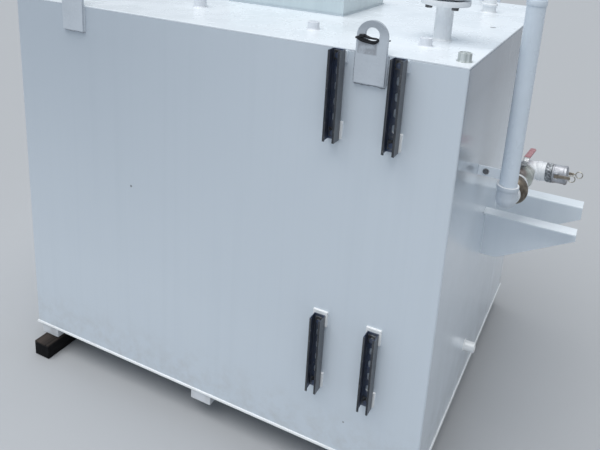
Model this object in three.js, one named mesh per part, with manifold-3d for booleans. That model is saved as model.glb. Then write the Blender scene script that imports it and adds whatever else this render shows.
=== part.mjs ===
// White rectangular steel storage tank on runners and timber bearers, with slotted mounting
// channels, lifting lugs, a raised hatch and a side-mounted fill line. Millimetres, +Z up,
// standing on the ground at z = 0 with its front facing -y. The pieces are placed from the tank's
// own centre, and the last lines move the whole so that its bounding box is centred on x = 0.
import * as THREE from 'three';
import { mergeVertices } from 'three/addons/utils/BufferGeometryUtils.js';
import Module from 'manifold-3d';

const wasm = await Module();
wasm.setup();

// Tank body
const tankWidth = 1800;
const tankDepth = 1478;
const plateThickness = 6;
const bearerWidth = 66;
const bearerHeight = 70;
const bearerOverhang = 66;
const bearerX = 809;
const runnerWidth = 94;
const runnerHeight = 44;
const runnerX = 830;
const floorLip = 5;
const wallHeight = 1486;
const cornerRadius = 6;
const floorBottom = bearerHeight + runnerHeight;
const floorTop = floorBottom + plateThickness;
const roofBottom = floorTop + wallHeight;
const roofTop = roofBottom + plateThickness;
const frontY = -tankDepth / 2;
const wallX = tankWidth / 2;

// Lifting lugs
const frontLugX = { left: -594.5, right: 605 };
const lugWidth = 100;
const lugThickness = 12;
const lugBottom = 1514;
const lugTop = 1710;
const lugHoleDiameter = 46;
const lugHoleZ = 1666;
const rearLugX = 640;

// Cable tie round the front right lug's left limb
const tieGap = 0.6;
const tieBand = 1.6;
const tieWidth = 5;
const tieBelowHole = 15;
const tiePastHole = 14;
const tieHead = { from: 8, to: 16, depth: 5, height: 8 };
const tieTail = { from: 14, past: 26, near: 3.6, far: 2, height: 3 };

// Slotted mounting channels on the front wall
const channelSize = 41;
const channelWall = 2.5;
const channelLip = 5;
const channelLipDepth = 5;
const channelCentreX = 600.5;
const channelSpacing = 198;
const upperChannel = { bottom: 1315, length: 295, firstSlot: 25 };
const lowerChannel = { bottom: 370, length: 300, firstSlot: 25 };
const slotPitch = 50;
const slotCount = 6;
const slotWidth = 14;
const slotLength = 28;
const spacerWidth = 54;
const spacerHeight = 58;
const spacerThickness = 8;
const spacerLift = 8;
const channelBolt = { washer: 30, washerThickness: 4, acrossFlats: 17, head: 8 };

// Raised hatch on the roof
const hatchSize = { x: 522, y: 440 };
const hatchX = 17;
const hatchY = 2;
const hatchHeight = 94;
const hatchWall = 6;
const hatchCoverOverhang = 6;
const hatchCoverThickness = 6;

// Sockets with plugs, each at a place on the roof
const socketHeight = 26;
const socketRadius = 20.5;
const socketChamfer = 1.5;
const plugShare = 0.7;
const plugRecess = 2;
const sockets = [
  { name: 'roof_socket_corner', x: 865, y: -663, radius: socketRadius, height: socketHeight },
  { name: 'roof_socket_right', x: 705, y: -526, radius: socketRadius, height: socketHeight },
  { name: 'roof_socket_middle', x: 305, y: -532, radius: socketRadius, height: socketHeight },
  { name: 'roof_socket_left', x: -237, y: -437, radius: 25, height: 45 },
];
const ventX = 712;
const ventY = 386;
const ventRadius = 34;
const ventRim = { radius: 37, from: 28, to: 38, chamfer: 2 };
const ventPlug = { radius: 30, height: 74, shoulder: 8, inset: 4 };
const drainY = -139;
const drainZ = 305;
const drainRadius = 22;
const drainLength = 45;

// Fill line on the right side
const pipeRadius = 30.15;
const fittingRadius = 36.5;
const riserX = 1006;
const riserY = -387;
const branchZ = 1100;
const branchTurn = -4 * Math.PI / 180;
const elbowReach = 50;
const elbowBallRadius = 36;
const elbowLegRadius = 35;
const elbowCollar = 16;
const fillBendRadius = 40;
const fillRimWidth = 18;
const riserTop = 1763;
const bendZ = 1822;
const nozzleX = 718.5;
const flangeRadius = 82.5;
const flangeThickness = 18;
const boltCircleRadius = 62.5;
const flangeBoltRadius = 8;
const flangeHoleRadius = 9;
const flangeNut = { acrossFlats: 24, height: 13, below: 0.3, shankPast: 8.7 };
const flangeBoltHead = 10.5;
const raisedFaceRadius = 51;
const raisedFace = 2;
const nozzleNeck = 120;
const nozzleWeld = 5;
const gasketThickness = 3;
const gasketRadius = 53.5;
const clipZ = 1181;
const clipHeight = 36;
const clipThickness = 6;
const clipBoltX = 927;
const clipBarEnd = 20;
const clipGap = 0.3;
const clipBolt = { acrossFlats: 17, head: 6.5, nut: 8.5 };

// Places along the branch, measured from the riser's axis
const checkStart = 50.3;
const checkEnd = 145;
const checkRadius = 52;
const checkMouth = 41;
const checkNeck = 34.5;
const valveStart = 145.3;
const valveCentre = 216;
const valveEnd = 275.7;
const valveRing = { radius: 38.5, width: 8 };
const valveHexagon = { inlet: 66, inletWidth: 20, outlet: 66, outletWidth: 24 };
const valveBall = { radius: 41, neck: 33, halfFlat: 10, halfRound: 26 };
const valveBossRadius = 13;
const fillElbowCentre = 326;

// Places along the fill connection, measured from the fill elbow's centre
const outletTilt = -4 * Math.PI / 180;
const capRoll = -8 * Math.PI / 180;
const adapterStart = 67;
const adapterEnd = 90;
const adapterFlats = 69;
const outletNeckRadius = 35.5;
const capStart = 92;
const capEnd = 142;
const capRadius = 36;
const capWall = 3.5;
const capChamfer = 3;
const spigotRadius = 31;
const spigotGroove = { from: 12, slope: 5, depth: 4, width: 5, end: 37 };

// Ball valve lever
const leverLength = 156;
const leverWidth = 22;
const leverThickness = 4;
const leverTail = 16;
const leverZ = 1153;
const leverRise = 12;
const leverCrank = { from: 27, to: 39 };
const leverNut = { acrossFlats: 17, height: 8.5 };
const stemRadius = 6;
const stemGap = 0.6;

// Cam arms on the dust cap, and the lugs that carry their pins
const camPinAlong = 108;
const camPinOut = 45;
const camPinRadius = 3;
const camPinGap = 0.4;
const camLug = { half: 8, root: 5, past: 7, inner: 7.5, outer: 12.5 };
const camArmLength = 50;
const camArmHalfHeight = 6;
const camArmHalfThickness = 2.5;
const camEyeRadius = 6.5;
const camRingRadius = 14;
const camRingWire = 2;

// Bracket arms on the right side
const armReach = 340;
const armTop = 915;
const armRootHeight = 207;
const armTipHeight = 54;
const armFlat = 62;
const armSweep = 18;
const armFlange = 66;
const armThickness = 6;
const armBendRadius = 9;
const frontArmY = -79;
const rearArmY = 129;

// How far fused shapes reach into each other, and the gap between faces that only meet
const sunk = 0.5;
const facingGap = 0.3;

const white = new THREE.MeshStandardMaterial({ color: 0xdfe5ea, roughness: 0.28, metalness: 0.0 });
const timber = new THREE.MeshStandardMaterial({ color: 0x3f352c, roughness: 0.9, metalness: 0.0 });
const darkSteel = new THREE.MeshStandardMaterial({ color: 0x34383b, roughness: 0.55, metalness: 0.8 });
const rubber = new THREE.MeshStandardMaterial({ color: 0x16191c, roughness: 0.85, metalness: 0.0 });
const bronze = new THREE.MeshStandardMaterial({ color: 0x6e6650, roughness: 0.5, metalness: 0.8 });
const nickel = new THREE.MeshStandardMaterial({ color: 0x9fa69c, roughness: 0.35, metalness: 0.9 });
const alloy = new THREE.MeshStandardMaterial({ color: 0xb9bdc0, roughness: 0.4, metalness: 0.9 });
const leverRed = new THREE.MeshStandardMaterial({ color: 0xb48a90, roughness: 0.5, metalness: 0.0 });

const tank = new THREE.Group();

// Solids and booleans

function addMesh(name, geometry, material, place = new THREE.Matrix4()) {
  const mesh = new THREE.Mesh(geometry, material);
  mesh.name = name;
  mesh.applyMatrix4(place);
  tank.add(mesh);
  return mesh;
}

function toSolid(geometry) {
  const plain = geometry.clone();
  plain.deleteAttribute('normal');
  plain.deleteAttribute('uv');
  const merged = mergeVertices(plain, 1e-4);
  return new wasm.Manifold(new wasm.Mesh({
    numProp: 3,
    vertProperties: new Float32Array(merged.attributes.position.array),
    triVerts: new Uint32Array(merged.index.array),
  }));
}

function toGeometry(solid) {
  const mesh = solid.getMesh();
  const geometry = new THREE.BufferGeometry();
  geometry.setAttribute('position', new THREE.BufferAttribute(new Float32Array(mesh.vertProperties), 3));
  geometry.setIndex(new THREE.BufferAttribute(new Uint32Array(mesh.triVerts), 1));
  geometry.computeVertexNormals();
  return geometry;
}

function join(geometries) {
  return toGeometry(geometries.map(toSolid).reduce((whole, next) => whole.add(next)));
}

function cut(geometry, cutters) {
  return toGeometry(cutters.map(toSolid).reduce((whole, next) => whole.subtract(next), toSolid(geometry)));
}

// Simple shapes

function block(x0, x1, y0, y1, z0, z1) {
  const geometry = new THREE.BoxGeometry(x1 - x0, y1 - y0, z1 - z0);
  geometry.translate((x0 + x1) / 2, (y0 + y1) / 2, (z0 + z1) / 2);
  return geometry;
}

// A cylinder along z from z0 to z1
function upright(radius, x, y, z0, z1, sides = 24) {
  const geometry = new THREE.CylinderGeometry(radius, radius, z1 - z0, sides);
  geometry.rotateX(Math.PI / 2);
  geometry.translate(x, y, (z0 + z1) / 2);
  return geometry;
}

// A turned piece about z from [radius, height] pairs that start and end on the axis
function turned(profile, sides = 24) {
  const points = profile.map(([radius, height]) => new THREE.Vector2(radius, height));
  const geometry = new THREE.LatheGeometry(points, sides);
  geometry.rotateX(Math.PI / 2);
  return geometry;
}

// A flat outline in x and z, thickened along y from y0 to y1
function uprightPlate(shape, y0, y1, curveSegments = 16) {
  const geometry = new THREE.ExtrudeGeometry(shape, { depth: y1 - y0, bevelEnabled: false, curveSegments });
  geometry.rotateX(Math.PI / 2);
  geometry.translate(0, y1, 0);
  return geometry;
}

// A flat outline in x and y, thickened along z from z0 to z1
function levelPlate(shape, z0, z1, curveSegments = 8) {
  const geometry = new THREE.ExtrudeGeometry(shape, { depth: z1 - z0, bevelEnabled: false, curveSegments });
  geometry.translate(0, 0, z0);
  return geometry;
}

function hexagon(acrossFlats, height) {
  const radius = acrossFlats / Math.sqrt(3);
  const geometry = new THREE.CylinderGeometry(radius, radius, height, 6);
  geometry.rotateX(Math.PI / 2);
  return geometry;
}

// A hexagon about z from start to end
function hexagonAt(acrossFlats, start, end) {
  const geometry = hexagon(acrossFlats, end - start);
  geometry.translate(0, 0, (start + end) / 2);
  return geometry;
}

// Lay a turned piece on its side, its axis along +x
function alongX(geometry) {
  geometry.rotateY(Math.PI / 2);
  return geometry;
}

// Tank body: floor, walls and roof

function wallShape(facing) {
  const outer = facing * (tankDepth / 2);
  const inner = facing * (tankDepth / 2 - plateThickness);
  const middle = facing * (tankDepth / 2 - cornerRadius);
  const shape = new THREE.Shape();
  shape.moveTo(-wallX, inner);
  shape.lineTo(-wallX, middle);
  shape.quadraticCurveTo(-wallX, outer, -wallX + cornerRadius, outer);
  shape.lineTo(wallX - cornerRadius, outer);
  shape.quadraticCurveTo(wallX, outer, wallX, middle);
  shape.lineTo(wallX, inner);
  shape.closePath();
  return shape;
}

function spacerPad(centreX, centreZ) {
  const top = Math.min(centreZ + spacerHeight / 2, roofBottom);
  return block(centreX - spacerWidth / 2, centreX + spacerWidth / 2,
    frontY - spacerThickness, frontY + 1, centreZ - spacerHeight / 2, top);
}

const channelXs = [channelCentreX - channelSpacing / 2, channelCentreX + channelSpacing / 2];

function buildWalls() {
  const pads = [];
  for (const x of channelXs) {
    for (const { bottom, firstSlot } of [upperChannel, lowerChannel]) {
      const lowSlot = bottom + firstSlot;
      pads.push(spacerPad(x, lowSlot + spacerLift));
      pads.push(spacerPad(x, lowSlot + (slotCount - 1) * slotPitch + spacerLift));
    }
  }
  addMesh('front_wall', join([levelPlate(wallShape(-1), floorTop, roofBottom), ...pads]), white);
  addMesh('back_wall', levelPlate(wallShape(1), floorTop, roofBottom), white);
  const sideEnd = tankDepth / 2 - plateThickness;
  const innerX = wallX - plateThickness;
  addMesh('left_wall', block(-wallX, -innerX, -sideEnd, sideEnd, floorTop, roofBottom), white);
  addMesh('right_wall', block(innerX, wallX, -sideEnd, sideEnd, floorTop, roofBottom), white);
}

function buildFloorAndRoof() {
  addMesh('floor_plate', block(-wallX - floorLip, wallX + floorLip, frontY - floorLip, -frontY + floorLip,
    floorBottom, floorTop), white);
  const roof = block(-wallX, wallX, frontY, -frontY, roofBottom, roofTop);
  addMesh('roof_plate', cut(roof, [hatchBlock(hatchWall, roofBottom - 1, roofTop + 1)]), white);
}

function buildSupports() {
  for (const [name, x] of [['runner_left', -runnerX], ['runner_middle', 0], ['runner_right', runnerX]]) {
    addMesh(name, block(x - runnerWidth / 2, x + runnerWidth / 2, frontY, -frontY,
      bearerHeight, floorBottom), white);
  }
  for (const [name, x] of [['bearer_left', -bearerX], ['bearer_right', bearerX]]) {
    addMesh(name, block(x - bearerWidth / 2, x + bearerWidth / 2,
      frontY - bearerOverhang, -frontY + bearerOverhang, 0, bearerHeight), timber);
  }
}

// Lifting lugs and the strap looped through one of them

function lugShape() {
  const radius = lugWidth / 2;
  const shape = new THREE.Shape();
  shape.moveTo(-radius, lugBottom);
  shape.lineTo(radius, lugBottom);
  shape.lineTo(radius, lugTop - radius);
  shape.absarc(0, lugTop - radius, radius, 0, Math.PI, false);
  shape.closePath();
  const hole = new THREE.Path();
  hole.absarc(0, lugHoleZ, lugHoleDiameter / 2, 0, 2 * Math.PI, true);
  shape.holes.push(hole);
  return shape;
}

function buildLugs() {
  const places = [
    ['lug_front_left', frontLugX.left, -1],
    ['lug_front_right', frontLugX.right, -1],
    ['lug_rear_left', -rearLugX, 1],
    ['lug_rear_right', rearLugX, 1],
  ];
  for (const [name, x, facing] of places) {
    const start = facing < 0 ? frontY - lugThickness : -frontY;
    const lug = uprightPlate(lugShape(), start, start + lugThickness, 10);
    lug.translate(x, 0, 0);
    addMesh(name, lug, white);
  }
}

// The strap goes round the lug's left limb, through the hole
function buildCableTie() {
  const left = frontLugX.right - lugWidth / 2 - tieGap - tieBand;
  const right = frontLugX.right - lugHoleDiameter / 2 + tiePastHole;
  const near = frontY - lugThickness - tieGap - tieBand;
  const far = frontY + tieGap + tieBand;
  const outer = new THREE.Shape();
  outer.moveTo(left, near);
  outer.lineTo(right, near);
  outer.lineTo(right, far);
  outer.lineTo(left, far);
  outer.closePath();
  const inner = new THREE.Path();
  inner.moveTo(left + tieBand, near + tieBand);
  inner.lineTo(left + tieBand, far - tieBand);
  inner.lineTo(right - tieBand, far - tieBand);
  inner.lineTo(right - tieBand, near + tieBand);
  inner.closePath();
  outer.holes.push(inner);
  const loop = levelPlate(outer, -tieWidth / 2, tieWidth / 2);
  const head = block(left + tieHead.from, left + tieHead.to, near - tieHead.depth, near + tieBand,
    -tieHead.height / 2, tieHead.height / 2);
  const tail = block(left + tieTail.from, right + tieTail.past, near - tieTail.near, near - tieTail.far,
    -tieTail.height / 2, tieTail.height / 2);
  const strap = join([loop, head, tail]);
  strap.translate(0, 0, lugHoleZ - tieBelowHole);
  addMesh('cable_tie', strap, rubber);
}

// Slotted channels, open to the front, each held by two bolts on its spacer pads

function channelShape() {
  const half = channelSize / 2;
  const front = -channelSize;
  const mouth = half - channelWall - channelLip;
  const shape = new THREE.Shape();
  shape.moveTo(-half, 0);
  shape.lineTo(-half, front);
  shape.lineTo(-mouth, front);
  shape.lineTo(-mouth, front + channelLipDepth);
  shape.lineTo(-mouth - channelWall, front + channelLipDepth);
  shape.lineTo(-mouth - channelWall, front + channelWall);
  shape.lineTo(-half + channelWall, front + channelWall);
  shape.lineTo(-half + channelWall, -channelWall);
  shape.lineTo(half - channelWall, -channelWall);
  shape.lineTo(half - channelWall, front + channelWall);
  shape.lineTo(mouth + channelWall, front + channelWall);
  shape.lineTo(mouth + channelWall, front + channelLipDepth);
  shape.lineTo(mouth, front + channelLipDepth);
  shape.lineTo(mouth, front);
  shape.lineTo(half, front);
  shape.lineTo(half, 0);
  shape.closePath();
  return shape;
}

function slotCutter(centreZ) {
  const radius = slotWidth / 2;
  const straight = slotLength / 2 - radius;
  const shape = new THREE.Shape();
  shape.moveTo(radius, centreZ - straight);
  shape.lineTo(radius, centreZ + straight);
  shape.absarc(0, centreZ + straight, radius, 0, Math.PI, false);
  shape.lineTo(-radius, centreZ - straight);
  shape.absarc(0, centreZ - straight, radius, Math.PI, 2 * Math.PI, false);
  return uprightPlate(shape, -channelWall - 1, 1, 3);
}

function channelBoltHead(centreZ) {
  const { washer, washerThickness, acrossFlats, head } = channelBolt;
  const plate = block(-washer / 2, washer / 2, -channelWall - washerThickness, -channelWall + sunk,
    centreZ - washer / 2, centreZ + washer / 2);
  const hex = hexagon(acrossFlats, head + sunk);
  hex.rotateX(Math.PI / 2);
  hex.translate(0, -channelWall - washerThickness - (head - sunk) / 2, centreZ);
  return [plate, hex];
}

function buildChannel(name, x, { bottom, length, firstSlot }) {
  const slotZs = Array.from({ length: slotCount }, (_, i) => firstSlot + i * slotPitch);
  const slotted = cut(levelPlate(channelShape(), 0, length), slotZs.map(slotCutter));
  const bolts = [slotZs[0], slotZs[slotCount - 1]].flatMap(channelBoltHead);
  const channel = join([slotted, ...bolts]);
  channel.translate(x, frontY - spacerThickness, bottom);
  addMesh(name, channel, darkSteel);
}

function buildChannels() {
  buildChannel('channel_upper_left', channelXs[0], upperChannel);
  buildChannel('channel_upper_right', channelXs[1], upperChannel);
  buildChannel('channel_lower_left', channelXs[0], lowerChannel);
  buildChannel('channel_lower_right', channelXs[1], lowerChannel);
}

// Raised hatch: a rectangular frame of four sides with a flat cover

// A block over the hatch's outline, pulled in by inset on all four sides
function hatchBlock(inset, low, high) {
  const halfX = hatchSize.x / 2 - inset;
  const halfY = hatchSize.y / 2 - inset;
  return block(hatchX - halfX, hatchX + halfX, hatchY - halfY, hatchY + halfY, low, high);
}

function buildHatch() {
  const coverBottom = roofTop + hatchHeight;
  addMesh('hatch_frame', cut(hatchBlock(0, roofTop, coverBottom),
    [hatchBlock(hatchWall, roofTop - 1, coverBottom + 1)]), white);
  addMesh('hatch_cover',
    hatchBlock(-hatchCoverOverhang, coverBottom, coverBottom + hatchCoverThickness), white);
}

// Plugged sockets, the capped vent stub and the drain socket

function socket(radius, height) {
  const plugRadius = radius * plugShare;
  return turned([
    [0, 0], [radius, 0], [radius, height - socketChamfer], [radius - socketChamfer, height],
    [plugRadius, height], [plugRadius, height - plugRecess], [0, height - plugRecess],
  ]);
}

function buildSockets() {
  for (const { name, x, y, radius, height } of sockets) {
    const piece = socket(radius, height);
    piece.translate(x, y, roofTop);
    addMesh(name, piece, white);
  }
  const rim = ventRim;
  const plug = ventPlug;
  const vent = turned([
    [0, 0], [ventRadius, 0], [ventRadius, rim.from], [rim.radius, rim.from + rim.chamfer],
    [rim.radius, rim.to - rim.chamfer], [ventRadius, rim.to], [plug.radius, rim.to],
    [plug.radius, plug.height - plug.shoulder], [plug.radius - plug.inset, plug.height - rim.chamfer],
    [0, plug.height],
  ]);
  vent.translate(ventX, ventY, roofTop);
  addMesh('vent_stub', vent, white);
  const drain = alongX(socket(drainRadius, drainLength));
  drain.translate(wallX, drainY, drainZ);
  addMesh('drain_socket', drain, white);
}

// Flanged nozzle, gasket and the flange of the fill line

function flangeBoltPlaces() {
  return [0, 1, 2, 3].map((quarter) => {
    const angle = Math.PI / 4 + quarter * Math.PI / 2;
    return [nozzleX + boltCircleRadius * Math.cos(angle), riserY + boltCircleRadius * Math.sin(angle)];
  });
}

const nozzleFlangeBottom = roofTop + nozzleNeck;
const nozzleFace = nozzleFlangeBottom + flangeThickness + raisedFace;
const dropFace = nozzleFace + gasketThickness;
const dropFlangeTop = dropFace + raisedFace + flangeThickness;

function buildNozzle() {
  const boltHoles = flangeBoltPlaces().map(([x, y]) => upright(flangeHoleRadius, x, y,
    nozzleFlangeBottom - 1, nozzleFace + 1, 12));
  const body = turned([
    [0, 0], [pipeRadius + nozzleWeld, 0], [pipeRadius, nozzleWeld], [pipeRadius, nozzleNeck],
    [flangeRadius, nozzleNeck], [flangeRadius, nozzleNeck + flangeThickness],
    [raisedFaceRadius, nozzleNeck + flangeThickness],
    [raisedFaceRadius, nozzleNeck + flangeThickness + raisedFace],
    [0, nozzleNeck + flangeThickness + raisedFace],
  ], 36);
  body.translate(nozzleX, riserY, roofTop);
  addMesh('roof_nozzle', cut(body, boltHoles), white);
  const gasket = upright(gasketRadius, nozzleX, riserY, nozzleFace, dropFace);
  addMesh('flange_gasket', gasket, rubber);
}

function flangeBolt(x, y) {
  const nutTop = nozzleFlangeBottom - flangeNut.below;
  const shankEnd = nutTop - flangeNut.height - flangeNut.shankPast;
  const shank = upright(flangeBoltRadius, x, y, shankEnd, dropFlangeTop + sunk, 12);
  const head = hexagonAt(flangeNut.acrossFlats, dropFlangeTop - sunk, dropFlangeTop + flangeBoltHead);
  head.translate(x, y, 0);
  const nut = hexagonAt(flangeNut.acrossFlats, nutTop - flangeNut.height, nutTop);
  nut.translate(x, y, 0);
  return [shank, head, nut];
}

function buildDropFlange() {
  const flange = turned([
    [0, 0], [raisedFaceRadius, 0], [raisedFaceRadius, raisedFace], [flangeRadius, raisedFace],
    [flangeRadius, raisedFace + flangeThickness], [0, raisedFace + flangeThickness],
  ], 36);
  flange.translate(nozzleX, riserY, dropFace);
  const bolts = flangeBoltPlaces().flatMap(([x, y]) => flangeBolt(x, y));
  addMesh('drop_flange', join([flange, ...bolts]), white);
}

// Round pipework

function arcSweep(radius, startAngle, bendRadius, sides = 12, steps = 6) {
  const section = new THREE.Shape();
  section.absarc(0, 0, radius, 0, 2 * Math.PI, false);
  const points = [];
  for (let i = 0; i <= steps; i += 1) {
    const angle = startAngle + i * (Math.PI / 2) / steps;
    points.push(new THREE.Vector3(bendRadius * Math.cos(angle), 0, bendRadius * Math.sin(angle)));
  }
  const extrudePath = new THREE.CatmullRomCurve3(points);
  return new THREE.ExtrudeGeometry(section, { steps, curveSegments: sides, extrudePath, bevelEnabled: false });
}

// A pipe fitting that turns from +z to +x about the origin: ball-shaped heel, two legs and collars
function elbow() {
  const heel = new THREE.SphereGeometry(elbowBallRadius, 24, 16);
  const up = upright(elbowLegRadius, 0, 0, 0, elbowReach - 1);
  const out = alongX(upright(elbowLegRadius, 0, 0, 0, elbowReach - 1));
  const upCollar = upright(fittingRadius, 0, 0, elbowReach - elbowCollar, elbowReach);
  const outCollar = alongX(upright(fittingRadius, 0, 0, elbowReach - elbowCollar, elbowReach));
  return join([heel, up, out, upCollar, outCollar]);
}

function buildFillLine() {
  const riser = upright(pipeRadius, riserX, riserY, branchZ + elbowReach, riserTop);
  addMesh('fill_riser', riser, white);

  const bend = fillBendRadius;
  const run = alongX(upright(pipeRadius, 0, 0, nozzleX + bend, riserX - bend));
  const nearArc = arcSweep(pipeRadius, 0, bend);
  nearArc.translate(riserX - bend, 0, -bend);
  const farArc = arcSweep(pipeRadius, Math.PI / 2, bend);
  farArc.translate(nozzleX + bend, 0, -bend);
  const nearLeg = upright(pipeRadius, riserX, 0, riserTop - bendZ, sunk - bend);
  const farLeg = upright(pipeRadius, nozzleX, 0, dropFlangeTop - bendZ, sunk - bend);
  const rims = [
    upright(fittingRadius, riserX, 0, riserTop - bendZ, riserTop - bendZ + fillRimWidth),
    alongX(upright(fittingRadius, 0, 0, riserX - bend - fillRimWidth, riserX - bend)),
    alongX(upright(fittingRadius, 0, 0, nozzleX + bend, nozzleX + bend + fillRimWidth)),
  ];
  const whole = join([nearLeg, nearArc, run, farArc, farLeg, ...rims]);
  whole.translate(0, riserY, bendZ);
  addMesh('fill_bend', whole, white);
}

// The branch is built along +x from the riser's axis, then turned to run towards the rear
const branchPlace = new THREE.Matrix4().makeTranslation(riserX, riserY, branchZ)
  .multiply(new THREE.Matrix4().makeRotationZ(Math.PI / 2 + branchTurn));

function alongBranch(profile) {
  return alongX(turned(profile));
}

function buildBranch() {
  addMesh('branch_elbow', elbow(), white, branchPlace);

  const checkLength = checkEnd - checkStart;
  const check = alongBranch([
    [0, checkStart], [checkMouth, checkStart], [checkRadius - 3, checkStart + checkLength * 0.14],
    [checkRadius, checkStart + checkLength * 0.35], [checkRadius - 1.5, checkStart + checkLength * 0.58],
    [checkRadius - 6, checkStart + checkLength * 0.76], [checkNeck + 4.5, checkStart + checkLength * 0.91],
    [checkNeck, checkEnd], [0, checkEnd],
  ]);
  addMesh('check_valve_body', check, bronze, branchPlace);

  const ringEnd = valveStart + valveRing.width;
  const inletEnd = ringEnd + valveHexagon.inletWidth;
  const outletStart = valveEnd - valveHexagon.outletWidth;
  const ends = [
    alongX(upright(valveRing.radius, 0, 0, valveStart, ringEnd)),
    alongX(hexagonAt(valveHexagon.inlet, ringEnd, inletEnd)),
    alongX(hexagonAt(valveHexagon.outlet, outletStart, valveEnd)),
  ];
  const { radius, neck, halfFlat, halfRound } = valveBall;
  const shoulder = (radius + neck) / 2;
  const ball = alongBranch([
    [0, inletEnd - sunk], [neck, inletEnd - sunk], [shoulder, valveCentre - halfRound],
    [radius, valveCentre - halfFlat], [radius, valveCentre + halfFlat],
    [shoulder, valveCentre + halfRound], [neck, outletStart + sunk], [0, outletStart + sunk],
  ]);
  const boss = upright(valveBossRadius, valveCentre, 0, 0, leverZ - branchZ - leverThickness);
  addMesh('ball_valve_body', join([...ends, ball, boss]), nickel, branchPlace);
}

// The lever turns about the valve's upright stem
function buildLever() {
  const half = leverWidth / 2;
  const slant = leverThickness / 2;
  const side = new THREE.Shape();
  side.moveTo(-leverTail, 0);
  side.lineTo(leverCrank.from, 0);
  side.lineTo(leverCrank.to, leverRise);
  side.lineTo(leverLength, leverRise);
  side.lineTo(leverLength, leverRise + leverThickness);
  side.lineTo(leverCrank.to - slant, leverRise + leverThickness);
  side.lineTo(leverCrank.from - slant, leverThickness);
  side.lineTo(-leverTail, leverThickness);
  side.closePath();
  const plate = uprightPlate(side, -half, half);
  const nut = hexagonAt(leverNut.acrossFlats, leverThickness - sunk, leverThickness + leverNut.height);
  const stem = upright(stemRadius, 0, 0, stemGap - leverThickness, sunk);
  const lever = join([plate, nut, stem]);
  lever.translate(valveCentre, 0, leverZ - branchZ);
  addMesh('valve_lever', lever, leverRed, branchPlace);
}

// Fill connection: an elbow that turns outwards, a cam-lock adapter and its dust cap

const outletPlace = branchPlace.clone()
  .multiply(new THREE.Matrix4().makeTranslation(fillElbowCentre, 0, 0))
  .multiply(new THREE.Matrix4().makeRotationX(outletTilt))
  .multiply(new THREE.Matrix4().makeRotationZ(-Math.PI / 2));
const capPlace = outletPlace.clone().multiply(new THREE.Matrix4().makeRotationX(capRoll));

function buildFillConnection() {
  const turn = elbow();
  // The fitting's legs are laid level: its inlet faces the valve and its outlet faces outwards
  turn.rotateX(Math.PI / 2);
  const neck = alongX(upright(outletNeckRadius, 0, 0, elbowReach - 1, adapterStart - facingGap));
  addMesh('fill_elbow', join([turn, neck]), white, outletPlace);

  const { from, slope, depth, width, end } = spigotGroove;
  const grooveRadius = spigotRadius - depth;
  const grooveStart = adapterEnd + from + slope;
  const adapter = join([
    alongX(hexagonAt(adapterFlats, adapterStart, adapterEnd)),
    alongBranch([
      [0, adapterEnd - sunk], [spigotRadius, adapterEnd - sunk], [spigotRadius, adapterEnd + from],
      [grooveRadius, grooveStart], [grooveRadius, grooveStart + width],
      [spigotRadius, grooveStart + width + slope], [spigotRadius, adapterEnd + end], [0, adapterEnd + end],
    ]),
  ]);
  addMesh('camlock_adapter', adapter, alloy, outletPlace);
}

// The two ears that hold one cam arm's pin, on the cap's side towards +y or -y
function camEars(side) {
  const root = side * (capRadius - camLug.root);
  const tip = side * (camPinOut + camLug.past);
  return [-camLug.outer, camLug.inner].map((bottom) => block(
    camPinAlong - camLug.half, camPinAlong + camLug.half, Math.min(root, tip), Math.max(root, tip),
    bottom, bottom + camLug.outer - camLug.inner));
}

function buildCap() {
  const inside = capRadius - capWall;
  // The cap is seated on the adapter's spigot
  const seat = adapterEnd + spigotGroove.end + facingGap;
  const shell = alongBranch([
    [inside, capStart], [capRadius, capStart], [capRadius, capEnd - capChamfer],
    [capRadius - capChamfer, capEnd], [0, capEnd], [0, seat], [inside, seat], [inside, capStart],
  ]);
  const pins = [-1, 1].map((side) => upright(camPinRadius, camPinAlong, side * camPinOut,
    -camLug.inner - sunk, camLug.inner + sunk, 16));
  const body = join([shell, ...camEars(-1), ...camEars(1), ...pins]);
  addMesh('dust_cap', body, alloy, capPlace);
}

function buildCamArm(name, side) {
  const eye = upright(camEyeRadius, 0, 0, -camEyeRadius, camEyeRadius);
  const bar = block(camPinRadius, camArmLength, -camArmHalfThickness, camArmHalfThickness,
    -camArmHalfHeight, camArmHalfHeight);
  const ring = new THREE.TorusGeometry(camRingRadius - camRingWire, camRingWire, 6, 18);
  ring.rotateX(Math.PI / 2);
  ring.translate(camArmLength + camRingRadius - camRingWire - sunk, 0, 0);
  const pinHole = upright(camPinRadius + camPinGap, 0, 0, -camEyeRadius - 1, camEyeRadius + 1, 16);
  const arm = cut(join([eye, bar, ring]), [pinHole]);
  arm.translate(camPinAlong, side * camPinOut, 0);
  addMesh(name, arm, alloy, capPlace);
}

// Pipe clip: a flat bar from the wall to the riser with a bolt through it

function buildClip() {
  const face = clipThickness / 2;
  const bar = block(wallX, riserX - clipBarEnd, riserY - face, riserY + face,
    clipZ - clipHeight / 2, clipZ + clipHeight / 2);
  const pipe = upright(pipeRadius + clipGap, riserX, riserY, clipZ - clipHeight, clipZ + clipHeight);
  const bolt = hexagonAt(clipBolt.acrossFlats, -face - clipBolt.nut, face + clipBolt.head);
  bolt.rotateX(Math.PI / 2);
  bolt.translate(clipBoltX, riserY, clipZ);
  addMesh('pipe_clip', join([cut(bar, [pipe]), bolt]), white);
}

// Folded bracket arms: a tapered web with a top flange turned away from the other arm

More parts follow.
